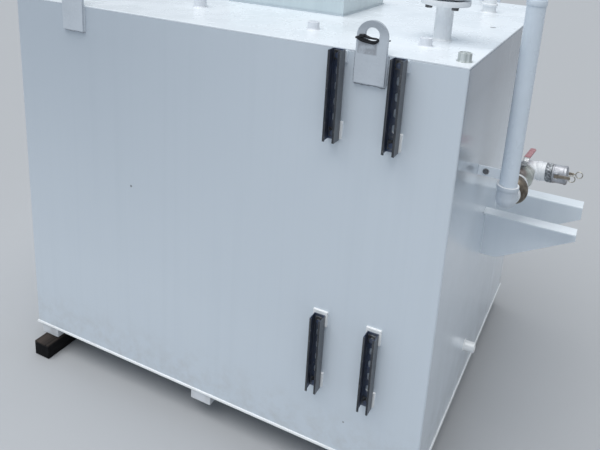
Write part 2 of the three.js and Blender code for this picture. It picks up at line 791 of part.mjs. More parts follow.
function armWeb(y0, y1) {
  const shape = new THREE.Shape();
  shape.moveTo(wallX, armTop - armRootHeight);
  shape.lineTo(wallX + armFlat - armSweep, armTop - armRootHeight);
  shape.quadraticCurveTo(wallX + armFlat, armTop - armRootHeight,
    wallX + armFlat + armSweep * 0.8, armTop - armRootHeight + armSweep * 0.45);
  shape.lineTo(wallX + armReach, armTop - armTipHeight);
  shape.lineTo(wallX + armReach, armTop - armBendRadius);
  shape.lineTo(wallX, armTop - armBendRadius);
  shape.closePath();
  return uprightPlate(shape, y0, y1, 6);
}

// The rounded fold and the flange, as an outline in y and z that runs the arm's whole reach
function armFold() {
  const inner = armBendRadius - armThickness;
  const shape = new THREE.Shape();
  shape.moveTo(0, -armBendRadius - sunk);
  shape.lineTo(0, -armBendRadius);
  shape.absarc(armBendRadius, -armBendRadius, armBendRadius, Math.PI, Math.PI / 2, true);
  shape.lineTo(armFlange, 0);
  shape.lineTo(armFlange, -armThickness);
  shape.lineTo(armBendRadius, -armThickness);
  shape.absarc(armBendRadius, -armBendRadius, inner, Math.PI / 2, Math.PI, false);
  shape.lineTo(armThickness, -armBendRadius - sunk);
  shape.closePath();
  const settings = { depth: armReach, bevelEnabled: false, curveSegments: 6 };
  const geometry = new THREE.ExtrudeGeometry(shape, settings);
  geometry.rotateX(Math.PI / 2);
  geometry.rotateZ(Math.PI / 2);
  geometry.translate(wallX, 0, armTop);
  return geometry;
}

function buildArm(name, y, facing) {
  const fold = armFold();
  const web = armWeb(0, armThickness);
  const arm = join([fold, web]);
  if (facing < 0) {
    arm.scale(1, -1, 1);
    const index = arm.index.array;
    for (let i = 0; i < index.length; i += 3) {
      [index[i], index[i + 1]] = [index[i + 1], index[i]];
    }
    arm.computeVertexNormals();
  }
  arm.translate(0, y, 0);
  addMesh(name, arm, white);
}

buildFloorAndRoof();
buildWalls();
buildSupports();
buildLugs();
buildCableTie();
buildChannels();
buildHatch();
buildSockets();
buildNozzle();
buildDropFlange();
buildFillLine();
buildBranch();
buildLever();
buildFillConnection();
buildCap();
buildCamArm('cam_arm_front', -1);
buildCamArm('cam_arm_rear', 1);
buildClip();
buildArm('bracket_arm_front', frontArmY, -1);
buildArm('bracket_arm_rear', rearArmY, 1);
tank.position.x = -(armReach - floorLip) / 2;

export default tank;
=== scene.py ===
# White rectangular storage tank: finishes, detailed pieces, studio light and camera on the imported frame.
import bmesh
import bpy
import math
from mathutils import Euler, Matrix, Vector, noise


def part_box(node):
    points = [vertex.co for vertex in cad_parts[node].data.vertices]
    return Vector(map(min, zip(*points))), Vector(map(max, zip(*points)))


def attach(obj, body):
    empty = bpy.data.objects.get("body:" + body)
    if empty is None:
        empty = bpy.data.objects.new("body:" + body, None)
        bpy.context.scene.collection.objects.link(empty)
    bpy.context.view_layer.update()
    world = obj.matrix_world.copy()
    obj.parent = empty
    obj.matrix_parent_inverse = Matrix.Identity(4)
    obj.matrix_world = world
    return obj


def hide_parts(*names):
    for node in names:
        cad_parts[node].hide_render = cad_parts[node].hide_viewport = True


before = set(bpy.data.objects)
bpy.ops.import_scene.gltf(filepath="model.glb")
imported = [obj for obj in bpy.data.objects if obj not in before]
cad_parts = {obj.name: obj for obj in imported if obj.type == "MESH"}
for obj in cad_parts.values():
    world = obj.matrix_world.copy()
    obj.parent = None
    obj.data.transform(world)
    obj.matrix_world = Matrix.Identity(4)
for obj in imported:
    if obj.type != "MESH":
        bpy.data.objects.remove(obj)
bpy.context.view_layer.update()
print("frame loaded:", len(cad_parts), "nodes")


# Scene and node helpers
def addToScene(name, data):
    item = bpy.data.objects.new(name, data)
    bpy.context.scene.collection.objects.link(item)
    return item


# A link, or a plain value; a colour gets its fourth number here
def join(tree, source, socket):
    if isinstance(source, bpy.types.NodeSocket):
        tree.links.new(source, socket)
    else:
        socket.default_value = (*source, 1) if socket.type == "RGBA" else source


# A new node: its settings come first, as they may change its sockets
def addNode(tree, kind, inputs, **settings):
    node = tree.nodes.new("ShaderNode" + kind)
    for name, value in settings.items():
        setattr(node, name, value)
    for key, source in inputs.items():
        join(tree, source, node.inputs[key])
    return node.outputs


def mapRange(tree, value, low, high, toLow=0, toHigh=1, curve="LINEAR"):
    return addNode(tree, "MapRange", {"Value": value, "From Min": low, "From Max": high, "To Min": toLow,
                                      "To Max": toHigh}, interpolation_type=curve)["Result"]


# Camera, light and floor
cameraView = {
    "place": (1.11736, -2.56819, 2.04013),
    "turn": (73.1023, -3.3637, 26.7372),
    "lens": 39.744,
    "shift": (-0.014583, -0.208465),
}
studio = {
    "skyColour": (0.74, 0.87, 1.0),
    "skyLevel": (0.52, 0.17),
    "skyFrom": (-0.8, 0.9),
    "skyAxis": (0.55, 0.835, 0.0),
    "glowAxis": (-0.15, 0.977, 0.15),
    "glowFrom": (0.78, 1.0),
    "glowLevel": (0, 0.49),
    "sunPower": 2.75,
    "sunSpread": 66,
    "sunPlace": (-0.25, -1.0, 5.0),
    "sunColour": (1.0, 0.985, 0.965),
    "floorColour": (0.42, 0.432, 0.45),
    "floorRoughness": 0.8,
    "floorSize": 120,
}


def setCamera():
    data = bpy.data.cameras.new("tankCamera")
    data.sensor_fit = "HORIZONTAL"
    data.sensor_width = 36
    data.lens = cameraView["lens"]
    data.shift_x, data.shift_y = cameraView["shift"]
    data.clip_end = 200
    camera = addToScene("tankCamera", data)
    camera.location = cameraView["place"]
    camera.rotation_euler = Euler([math.radians(a) for a in cameraView["turn"]])
    bpy.context.scene.camera = camera


def setSky():
    bpy.context.scene.view_settings.view_transform = "Standard"
    world = bpy.data.worlds.new("studioSky")
    world.use_nodes = True
    tree = world.node_tree
    direction = addNode(tree, "TexCoord", {})["Generated"]

    def ramp(axis, limits, levels):
        slope = addNode(tree, "VectorMath", {0: direction, 1: axis}, operation="DOT_PRODUCT")["Value"]
        return mapRange(tree, slope, *limits, *levels, curve="SMOOTHSTEP")

    # A little darker behind the tank and on its right, with a pale patch straight behind for the roof
    fall = ramp(studio["skyAxis"], studio["skyFrom"], studio["skyLevel"])
    glow = ramp(studio["glowAxis"], studio["glowFrom"], studio["glowLevel"])
    sky = tree.nodes["Background"]
    join(tree, studio["skyColour"], sky.inputs["Color"])
    join(tree, addNode(tree, "Math", {0: fall, 1: glow})["Value"], sky.inputs["Strength"])
    bpy.context.scene.world = world


def setLampAndFloor():
    data = bpy.data.lights.new("overheadSun", "SUN")
    data.energy = studio["sunPower"]
    data.angle = math.radians(studio["sunSpread"])
    data.color = studio["sunColour"]
    lamp = addToScene("overheadSun", data)
    lamp.location = studio["sunPlace"]
    lamp.rotation_euler = Vector(studio["sunPlace"]).to_track_quat("Z", "Y").to_euler()
    bm = bmesh.new()
    bmesh.ops.create_grid(bm, x_segments=4, y_segments=4, size=studio["floorSize"] / 2)
    mesh = bpy.data.meshes.new("studioFloor")
    bm.to_mesh(mesh)
    bm.free()
    plain = bpy.data.materials.new("floorPaper")
    plain.use_nodes = True
    shader = plain.node_tree.nodes["Principled BSDF"]
    shader.inputs["Base Color"].default_value = (*studio["floorColour"], 1)
    shader.inputs["Roughness"].default_value = studio["floorRoughness"]
    mesh.materials.append(plain)
    addToScene("studioFloor", mesh)


setCamera()
setSky()
setLampAndFloor()
print("camera, lights and floor are set")


# A material with short calls for the nodes that the finishes below are made of
class Finish:
    def __init__(self, name, colour):
        self.look = colour
        self.material = bpy.data.materials.new(name)
        self.material.use_nodes = True
        self.tree = self.material.node_tree
        self.shader = self.tree.nodes["Principled BSDF"]
        self.place = self.node("TexCoord", {})["Object"]

    def node(self, kind, inputs, **settings):
        return addNode(self.tree, kind, inputs, **settings)

    def span(self, value, *limits):
        return mapRange(self.tree, value, *limits)

    def noise(self, scale, detail=3, rough=0.5, warp=0, stretch=None):
        place = self.place
        if stretch:
            place = self.node("Mapping", {"Vector": place, "Scale": stretch})["Vector"]
        return self.node("TexNoise", {"Vector": place, "Scale": scale, "Detail": detail, "Roughness": rough,
                                      "Distortion": warp})["Fac"]

    # Noise that is 0 below the first limit and 1 above the second
    def patches(self, low, high, scale, detail=3, rough=0.5, warp=0, stretch=None):
        return self.span(self.noise(scale, detail, rough, warp, stretch), low, high)

    # Small round dots with a soft edge between two radii
    def dots(self, scale, inner, outer):
        far = self.node("TexVoronoi", {"Vector": self.place, "Scale": scale})["Distance"]
        return self.span(far, inner, outer, 1, 0)

    def axis(self, letter, *limits):
        return self.span(self.node("SeparateXYZ", {"Vector": self.place})[letter], *limits)

    # 1 at the point and 0 beyond the radius
    def spot(self, point, radius):
        far = self.node("VectorMath", {0: self.place, 1: point}, operation="DISTANCE")["Value"]
        return self.span(far, radius * 0.6, radius, 1, 0)

    def times(self, product, *factors):
        for factor in factors:
            product = self.node("Math", {0: product, 1: factor}, operation="MULTIPLY")["Value"]
        return product

    # A colour, or a stain or painted shade by name, over what is there, as far as the factors' product says
    def layer(self, colour, *factors):
        layers = {0: self.times(*factors), 6: self.look, 7: stainsAndShades.get(colour, colour)}
        self.look = self.node("Mix", layers, data_type="RGBA")[2]

    def bump(self, height, distance, strength=1.0, under=None):
        inputs = {"Height": height, "Distance": distance, "Strength": strength}
        if under:
            inputs["Normal"] = under
        return self.node("Bump", inputs)["Normal"]

    def set(self, roughness, normal, **plain):
        for socket, source in (("Base Color", self.look), ("Roughness", roughness), ("Normal", normal)):
            join(self.tree, source, self.shader.inputs[socket])
        for name, value in plain.items():
            self.shader.inputs[name.replace("_", " ")].default_value = value
        return self.material


# Finishes
paintLook = {
    "colour": (0.695, 0.758, 0.824),
    "shade": (0.635, 0.70, 0.765),
    "roughness": (0.13, 0.24),
    "runs": (3.2, 3.2, 0.09),
    "fineRuns": (4.0, 4.0, 0.05),
    "dirtHeight": (0.12, 0.34),
}
# Colours laid over the finishes: stains and wear, and painted shade and reflection where so named
stainsAndShades = {
    "grime": (0.42, 0.39, 0.34),
    # Painted shade: the next two darken walls where they stand in shade or reflect dark surroundings
    "paintedShade": (0.40, 0.46, 0.53),
    "paintedDeepShade": (0.29, 0.335, 0.395),
    "mark": (0.08, 0.075, 0.07),
    "strapRub": (0.27, 0.28, 0.31),
    "lugChip": (0.3, 0.3, 0.29),
    "lugUpperShade": (0.40, 0.44, 0.485),
    "waterRing": (0.62, 0.64, 0.65),
    "roofGrit": (0.2, 0.19, 0.17),
    "roofSpot": (0.1, 0.1, 0.1),
    "scuff": (0.45, 0.46, 0.46),
    "socketTop": (0.82, 0.86, 0.88),
    "weathered": (0.060, 0.048, 0.042),
    "wetTimber": (0.005, 0.0055, 0.007),
    "check": (0.004, 0.004, 0.004),
    "drawnSteel": (0.21, 0.215, 0.22),
    "rubbedSteel": (0.38, 0.38, 0.37),
    "paleBronze": (0.42, 0.40, 0.33),
    "greenBloom": (0.46, 0.54, 0.46),
    "brownBloom": (0.40, 0.33, 0.29),
    "stemStain": (0.17, 0.13, 0.13),
    "chalk": (0.68, 0.56, 0.56),
    "brownGroundReflection": (0.25, 0.19, 0.155),
    "rubbedAlloy": (0.74, 0.75, 0.76),
}
wearAndShade = {
    "lugFoot": (1.604, 1.608),
    "lugHead": (1.638, 1.645),
    "lugLeft": (0.392, 0.396),
    "lugRight": (0.452, 0.458),
    "lugGrey": (1.650, 1.690),
    "roofSpot": ((0.644, -0.007, 1.612), 0.015),
    "socketTop": (1.6545, 1.656),
    "bearerTop": (0.060, 0.0695),
    "stemStain": ((0.848, -0.205, 1.134), 0.034),
    "capUnderside": (1.074, 1.092),
}


# Glossy white paint on plate: run marks, a little dirt low down, orange peel and slight waves in the sheet,
# with an optional painted shade over a range of heights and of x
def platePaint(name, colour, shade, runs=0.3, dirt=0.35, waves=0.003, marks=(), gloss=0.5, haze=0.045,
               paintedShade=None, paintedShadeColour="paintedShade"):
    f = Finish(name, colour)
    streak = f.patches(0.5, 0.72, 5, 2, stretch=paintLook["runs"])
    fineStreak = f.patches(0.52, 0.75, 20, 2, stretch=paintLook["fineRuns"])
    f.layer(shade, f.patches(0.35, 0.7, 1.4), 0.2)
    f.layer(shade, streak, runs)
    f.layer(shade, fineStreak, runs * 0.5)
    low = f.axis("Z", *paintLook["dirtHeight"], 1, 0)
    f.layer("grime", low, f.patches(0.42, 0.75, 16, 5, 0.65), dirt)
    f.layer("grime", f.dots(46, 0.035, 0.06), f.patches(0.6, 0.7, 5, 2), 0.45)
    for point, radius, strength in marks:
        f.layer("mark", f.spot(point, radius), strength)
    # Painted shade: a darker colour laid over a range of heights and a range of x
    if paintedShade:
        heights, widths, strength = paintedShade
        f.layer(paintedShadeColour, f.axis("Z", *heights), f.axis("X", *widths, 0, strength))
    dull = f.node("Math", {0: f.times(f.noise(7, 4), 0.7), 1: f.times(streak, 0.3)})["Value"]
    peel = f.bump(f.noise(260, 2), 0.0004, 0.25)
    wave = f.bump(f.noise(2.2, 1), waves, under=peel)
    return f.set(f.span(dull, 0.25, 0.85, *paintLook["roughness"]), wave, Coat_Weight=gloss,
                 Coat_Roughness=haze, Specular_IOR_Level=gloss)


# The lugs' paint: a greyer copy of the white paint, painted shade, greyer still from the hole upwards, also
# painted shade, with the patch that the strap has rubbed below the hole
def lugPaint(name, colour, shade):
    f = Finish(name, colour)
    tone = f.patches(0.36, 0.7, 16, 5, 0.6)
    f.layer(shade, tone, 0.5)
    patch = f.span(f.noise(38, 4, 0.6, 0.8), 0.36, 0.54, 0.35, 1)
    below = f.times(f.axis("Z", *wearAndShade["lugFoot"]), f.axis("Z", *wearAndShade["lugHead"], 1, 0))
    beside = f.times(f.axis("X", *wearAndShade["lugLeft"]), f.axis("X", *wearAndShade["lugRight"], 1, 0))
    f.layer("strapRub", patch, below, beside, 0.7)
    f.layer("lugChip", f.dots(70, 0.05, 0.09), patch, 0.3)
    # Painted shade: greyer from the hole upwards
    f.layer("lugUpperShade", f.axis("Z", *wearAndShade["lugGrey"], 0, 0.9))
    return f.set(f.span(tone, 0, 1, 0.2, 0.36), f.bump(f.noise(150), 0.0005, 0.5), Coat_Weight=0.2,
                 Coat_Roughness=0.12)


# Roof paint: lighter than the wall paint for the light on top, painted light, and dustier, with rings left by
# standing water and one dark spot
def roofPaint(name, colour, shade):
    f = Finish(name, colour)
    f.layer(shade, f.patches(0.4, 0.68, 3.5, 6, 0.62, 0.6), 0.35)
    rings = f.patches(0.48, 0.52, 9, 3, 0.5, 1.5)
    f.layer("waterRing", f.dots(30, 0.06, 0.3), rings, 0.18)
    f.layer("roofGrit", f.dots(38, 0.02, 0.045), f.patches(0.56, 0.64, 4, 2), 0.6)
    f.layer("roofSpot", f.spot(*wearAndShade["roofSpot"]), 0.85)
    peel = f.bump(f.noise(220, 2), 0.0004, 0.3)
    wave = f.bump(f.noise(2.6, 1), 0.005, under=peel)
    return f.set(f.span(f.noise(6, 5, 0.6), 0.3, 0.75, 0.14, 0.42), wave, Coat_Weight=0.3,
                 Coat_Roughness=0.08)


# Smooth painted or plastic-coated pipe and fittings
def pipePaint(name, colour, shade):
    f = Finish(name, colour)
    f.layer(shade, f.patches(0.35, 0.75, 9, 4), 0.4)
    f.layer("scuff", f.patches(0.58, 0.8, 60, 5, 0.7, stretch=(1, 1, 0.25)), 0.3)
    return f.set(f.span(f.noise(20), 0.3, 0.8, 0.24, 0.42), f.bump(f.noise(300, 2), 0.0003, 0.25),
                 Coat_Weight=0.15, Coat_Roughness=0.15)


# Thin worn paint on a socket: upright scores on the side, a paler top
def wornSocket(name, paint, bare):
    f = Finish(name, paint)
    score = f.patches(0.38, 0.62, 170, 3, 0.6, stretch=(1, 1, 0.03))
    f.layer(bare, score)
    f.layer("socketTop", f.axis("Z", *wearAndShade["socketTop"]))
    return f.set(f.span(score, 0, 1, 0.3, 0.5), f.bump(score, 0.0008, 0.6))


# Creosoted softwood: long grain, checks and a browner weathered top
def bearerTimber(name, dark, pale):
    f = Finish(name, dark)
    grain = f.noise(38, 6, 0.6, 0.4, stretch=(1.0, 0.045, 1.0))
    checks = f.patches(0.62, 0.68, 60, 3, 0.5, 0.2, stretch=(1.0, 0.02, 1.0))
    wet = f.patches(0.35, 0.7, 6, 4)
    f.layer(pale, f.span(grain, 0.35, 0.65))
    f.layer("weathered", f.axis("Z", *wearAndShade["bearerTop"]), f.span(grain, 0.3, 0.6, 0.4, 1))
    f.layer("wetTimber", wet, 0.45)
    f.layer("check", checks)
    split = f.bump(f.span(checks, 0, 1, 1, 0), 0.002, 0.9, under=f.bump(grain, 0.0015, 0.8))
    return f.set(f.span(wet, 0, 1, 0.9, 0.7), split, Specular_IOR_Level=0.2)


# Dark passivated channel steel with rubbed lighter patches
def channelZinc(name, dark, pale):
    f = Finish(name, dark)
    bloom = f.patches(0.38, 0.7, 24, 5, 0.65)
    drawn = f.patches(0.4, 0.7, 90, 3, 0.6, stretch=(1, 1, 0.03))
    f.layer(pale, bloom)
    f.layer("drawnSteel", drawn, 0.45)
    f.layer("rubbedSteel", f.patches(0.6, 0.72, 75, 4, 0.7), 0.6)
    return f.set(f.span(bloom, 0, 1, 0.38, 0.62), f.bump(drawn, 0.0002, 0.5), Metallic=0.75)


# Hot-dip or plated bolts and nuts, darkened by weather
def boltSteel(name, light, dark):
    f = Finish(name, light)
    stain = f.patches(0.4, 0.65, 120, 4, 0.6)
    f.layer(dark, stain)
    return f.set(f.span(stain, 0, 1, 0.35, 0.6), f.bump(f.noise(400, 2), 0.0002, 0.4), Metallic=0.8)


# Cast bronze with brown tarnish
def valveBronze(name, light, dark):
    f = Finish(name, light)
    tarnish = f.patches(0.36, 0.66, 30, 6, 0.6, 0.3)
    f.layer(dark, tarnish)
    f.layer("paleBronze", f.patches(0.56, 0.72, 75, 4, 0.6), 0.5)
    return f.set(f.span(tarnish, 0, 1, 0.42, 0.66), f.bump(f.noise(420, 3, 0.6), 0.0005, 0.6), Metallic=0.6)


# Nickel-plated valve body with a dull bloom, and a brown stain round the stem on the side of the pipe
def valveNickel(name, light, dark):
    f = Finish(name, light)
    bloom = f.patches(0.38, 0.68, 26, 5, 0.6, 0.4)
    f.layer(dark, bloom)
    f.layer("greenBloom", f.patches(0.50, 0.66, 14), 0.35)
    f.layer("brownBloom", f.patches(0.55, 0.68, 22, 4, 0.6, 0.5), 0.45)
    f.layer("stemStain", f.spot(*wearAndShade["stemStain"]), 0.8)
    return f.set(f.span(bloom, 0, 1, 0.34, 0.56), f.bump(f.noise(300, 2), 0.0004, 0.4), Metallic=0.5)


# Faded red dipped vinyl on the lever
def sleeveVinyl(name, colour, faded):
    f = Finish(name, colour)
    fade = f.patches(0.36, 0.68, 42, 5, 0.6)
    f.layer(faded, fade)
    f.layer("chalk", f.patches(0.55, 0.75, 130, 4, 0.7), 0.45)
    return f.set(f.span(fade, 0, 1, 0.42, 0.62), f.bump(f.noise(260), 0.0004, 0.5))


# Sand-cast aluminium alloy, greyed, with a painted brown reflection of the ground on the underside
def capAlloy(name, light, dark, grain=34, under=0.0):
    f = Finish(name, light)
    grey = f.patches(0.36, 0.66, grain, 5, 0.65)
    f.layer(dark, grey)
    # Painted reflection: brown from the ground on the underside, as strong as under says
    f.layer("brownGroundReflection", f.axis("Z", *wearAndShade["capUnderside"], under, 0))
    f.layer("rubbedAlloy", f.patches(0.6, 0.74, 90, 4, 0.7), 0.6)
    return f.set(f.span(grey, 0, 1, 0.42, 0.66), f.bump(f.noise(520, 3, 0.7), 0.0005, 0.6), Metallic=0.55)


# Moulded nylon or rubber, near black
def blackMoulding(name, colour, pale, roughness):
    f = Finish(name, colour)
    dust = f.patches(0.4, 0.72, 110, 5, 0.65)
    f.layer(pale, dust)
    return f.set(f.span(dust, 0, 1, *roughness), f.bump(f.noise(600, 2), 0.0002, 0.4))


frontMarks = [((-0.505, -0.739, 0.934), 0.006, 0.75), ((0.451, -0.739, 0.258), 0.0045, 0.6)]
finishes = {
    # Front and back walls: a greyer copy of the white paint, painted shade, darker still towards the top and
    # the left
    "wall": platePaint("wallPaint", paintLook["colour"], paintLook["shade"], marks=frontMarks,
                       paintedShade=((0.5, 1.5), (0.5, -0.7), 0.5)),
    # Side walls: a lighter, bluer copy of the white paint, painted light; high on the right wall a painted
    # shade and dark reflection
    "side": platePaint("sideLitAndShadedPaint", (0.84, 0.91, 0.985), (0.74, 0.81, 0.88), runs=0.4, gloss=0.35, haze=0.12,
                       paintedShade=((1.0, 1.5), (0.0, 0.5), 1.0), paintedShadeColour="paintedDeepShade"),
    # Front pads and drain socket: a whiter copy of the paint, a painted highlight
    "pad": platePaint("padPaint", (0.93, 0.94, 0.945), (0.86, 0.87, 0.88), runs=0.0, waves=0.0004),
    # Floor plate and its weld: a whiter copy of the paint, a painted highlight
    "edge": platePaint("edgePaint", (0.90, 0.92, 0.935), (0.80, 0.82, 0.84), runs=0.0, dirt=0.15,
                       waves=0.0004),
    "support": platePaint("supportPaint", (0.80, 0.82, 0.85), (0.70, 0.73, 0.76), runs=0.1, waves=0.0006),
    "lug": lugPaint("lugPaint", (0.64, 0.69, 0.75), (0.52, 0.565, 0.62)),
    # Dark toe lines round the lug welds: painted shadow and grime
    "seam": platePaint("seamShadowAndGrime", (0.34, 0.37, 0.41), (0.22, 0.24, 0.27), runs=0.0, waves=0.0004,
                       gloss=0.1),
    "bracket": platePaint("bracketPaint", (0.86, 0.91, 0.96), (0.75, 0.81, 0.86), runs=0.25, waves=0.001,
                          gloss=0.2),
    # Rear arm: a greyer copy of the bracket paint, painted shade
    "shadedRearBracket": platePaint("shadedRearBracketPaint", (0.75, 0.805, 0.855), (0.66, 0.715, 0.765), runs=0.25,
                              waves=0.001, gloss=0.2),
    # Hatch: a greyer copy of the white paint, painted shade, darker still at its foot, a painted shadow
    "hatch": platePaint("shadedHatchPaint", (0.66, 0.755, 0.785), (0.53, 0.62, 0.66), runs=0.4, waves=0.0015,
                        paintedShade=((1.626, 1.612), (-5, -4), 0.6)),
    "roof": roofPaint("roofPaint", (0.855, 0.90, 0.945), (0.76, 0.81, 0.855)),
    # White pipe paint in copies of different brightness, painted light and shade: whiter on the fittings,
    # greyer on the roof sockets and on the branch elbow's body
    "pipe": pipePaint("pipePaint", (0.755, 0.83, 0.91), (0.65, 0.715, 0.785)),
    "socket": pipePaint("shadedSocketPaint", (0.76, 0.79, 0.84), (0.66, 0.69, 0.74)),
    "elbow": pipePaint("shadedElbowPaint", (0.64, 0.70, 0.77), (0.55, 0.60, 0.66)),
    "fitting": pipePaint("fittingPaint", (0.88, 0.905, 0.93), (0.77, 0.80, 0.83)),
    "thread": wornSocket("socketThreadPaint", (0.60, 0.64, 0.64), (0.30, 0.335, 0.33)),
    "timber": bearerTimber("bearerTimber", (0.003, 0.0033, 0.0045), (0.009, 0.0088, 0.0095)),
    # Channel steel in copies by which way the faces point, painted light and shade: bluish dark inside for
    # shade and sky reflection, lighter flanks, darkest front lips
    "channel": channelZinc("channelZinc", (0.070, 0.098, 0.175), (0.12, 0.14, 0.19)),
    "channelLitFlank": channelZinc("channelLitFlankZinc", (0.17, 0.18, 0.20), (0.25, 0.255, 0.27)),
    "channelShadedLip": channelZinc("channelShadedLipZinc", (0.040, 0.045, 0.055), (0.085, 0.09, 0.10)),
    "bolt": boltSteel("boltSteel", (0.20, 0.205, 0.21), (0.05, 0.05, 0.055)),
    "brightBolt": boltSteel("brightBoltSteel", (0.62, 0.63, 0.64), (0.36, 0.37, 0.38)),
    "bronze": valveBronze("valveBronze", (0.29, 0.245, 0.195), (0.085, 0.070, 0.056)),
    "nickel": valveNickel("valveNickel", (0.66, 0.67, 0.64), (0.40, 0.42, 0.40)),
    "sleeve": sleeveVinyl("leverVinyl", (0.40, 0.165, 0.185), (0.56, 0.33, 0.35)),
    # The cap's underside gets the painted brown reflection of the ground
    "alloy": capAlloy("capAlloy", (0.60, 0.61, 0.65), (0.32, 0.33, 0.36), under=0.75),
    "adapter": capAlloy("adapterAlloy", (0.46, 0.49, 0.52), (0.07, 0.075, 0.085), grain=115),
    "armAlloy": capAlloy("armAlloy", (0.36, 0.315, 0.265), (0.19, 0.16, 0.13)),
    "ring": boltSteel("ringSteel", (0.60, 0.57, 0.50), (0.34, 0.32, 0.28)),
    "nylon": blackMoulding("tieNylon", (0.007, 0.008, 0.012), (0.026, 0.028, 0.036), (0.55, 0.8)),
    "rubber": blackMoulding("gasketRubber", (0.02, 0.02, 0.022), (0.06, 0.06, 0.06), (0.65, 0.85)),
}
print("finishes are made:", len(finishes))


# Shape helpers
flatFrom = 2e-4
sharpFrom = math.radians(32)
asMade = Matrix.Identity(4)
# Turns a shape made along z to lie along x
layDown = Matrix.Rotation(math.pi / 2, 4, "Y")


def shapeObject(name, bm, finish, body="tank", replaced=None, others=()):
    mesh = bpy.data.meshes.new(name)
    bm.to_mesh(mesh)
    bm.free()
    for coat in (finish, *others):
        mesh.materials.append(finishes[coat])
    mesh.set_sharp_from_angle(angle=sharpFrom)
    # A copy of a CAD node brings corner normals that no longer fit; its large faces, over flatFrom, stay flat
    copied = mesh.has_custom_normals
    if copied:
        mesh.attributes.remove(mesh.attributes["custom_normal"])
    for face in mesh.polygons:
        face.use_smooth = not copied or face.area < flatFrom
    piece = addToScene(name, mesh)
    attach(piece, body)
    if replaced:
        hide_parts(replaced)


# Each item once, in the order met, so that every run gives the same mesh
def once(items):
    return list(dict.fromkeys(items))


def facesOf(verts):
    return once(face for v in verts for face in v.link_faces)


def hardEdges(edges, angle):
    return [e for e in edges if len(e.link_faces) == 2 and e.calc_face_angle(0) > math.radians(angle)]


def bevelEdges(bm, edges, width, segments=2):
    bmesh.ops.bevel(bm, geom=edges, offset=width, segments=segments, profile=0.5, affect="EDGES",
                    clamp_overlap=True, material=-1)


# A copy of a CAD node with its hard edges rounded over
def roundedCopy(node, width, segments=2):
    bm = bmesh.new()
    bm.from_mesh(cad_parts[node].data)
    bmesh.ops.remove_doubles(bm, verts=bm.verts, dist=2e-5)
    bmesh.ops.dissolve_limit(bm, angle_limit=math.radians(1.5), verts=bm.verts, edges=bm.edges)
    bevelEdges(bm, hardEdges(bm.edges, 28), width, segments)
    return bm


def roundedPiece(name, node, width, finish, segments=2):
    shapeObject(name, roundedCopy(node, width, segments), finish, replaced=node)


def roundRims(bm, verts, width, segments=2):
    bevelEdges(bm, hardEdges(once(e for v in verts for e in v.link_edges), 50), width, segments)


# Turns z to face a direction
def facing(direction):
    return Vector(direction).to_track_quat("Z", "Y").to_matrix().to_4x4()


# The upright axis through the middle of a node's box, at a height
def uprightAt(node, z=0.0):
    low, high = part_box(node)
    return Matrix.Translation(((low.x + high.x) / 2, (low.y + high.y) / 2, z))


def addBlock(bm, low, high, rim=0.0, place=asMade, segments=2):
    low, high = Vector(low), Vector(high)
    size = Matrix.Diagonal((*(high - low), 1))
    made = bmesh.ops.create_cube(bm, size=1, matrix=place @ Matrix.Translation((low + high) / 2) @ size)
    if rim:
        roundRims(bm, made["verts"], rim, segments)


def addRod(bm, start, end, radius, rim=0.0, place=asMade, sides=40):
    start, end = Vector(start), Vector(end)
    matrix = place @ Matrix.Translation((start + end) / 2) @ facing(end - start)
    made = bmesh.ops.create_cone(bm, cap_ends=True, segments=sides, radius1=radius, radius2=radius,
                                 depth=(end - start).length, matrix=matrix)
    if rim:
        roundRims(bm, made["verts"], rim)


def addHexagon(bm, start, end, acrossFlats, rim, place=asMade):
    addRod(bm, start, end, acrossFlats / math.sqrt(3), rim, place, sides=6)


# Rods and hexagons on one upright axis, as on a bolt: what to add, its two heights, its size and its rim
def addStack(bm, place, *parts):
    for add, low, high, size, rim in parts:
        add(bm, (0, 0, low), (0, 0, high), size, rim, place)


# A turned shape from (radius, height) pairs, spun about z and then placed
def addTurned(bm, profile, place=asMade, steps=64, closed=False):
    old = set(bm.verts)
    verts = [bm.verts.new((radius, 0, height)) for radius, height in profile]
    pairs = list(zip(verts, verts[1:])) + ([(verts[-1], verts[0])] if closed else [])
    edges = [bm.edges.new(pair) for pair in pairs]
    bmesh.ops.spin(bm, geom=verts + edges, cent=(0, 0, 0), axis=(0, 0, 1), angle=2 * math.pi, steps=steps,
                   use_merge=True)
    bmesh.ops.remove_doubles(bm, verts=[v for v in bm.verts if v not in old], dist=1e-5)
    made = [v for v in bm.verts if v not in old]
    bmesh.ops.recalc_face_normals(bm, faces=facesOf(made))
    bmesh.ops.transform(bm, matrix=place, verts=made)


# The outside of a disc or collar from one end to the other, with both rims rounded
def roundedRim(outer, start, end, soft):
    return [(outer - soft, start), (outer - soft * 0.3, start + soft * 0.3), (outer, start + soft),
            (outer, end - soft), (outer - soft * 0.3, end - soft * 0.3), (outer - soft, end)]


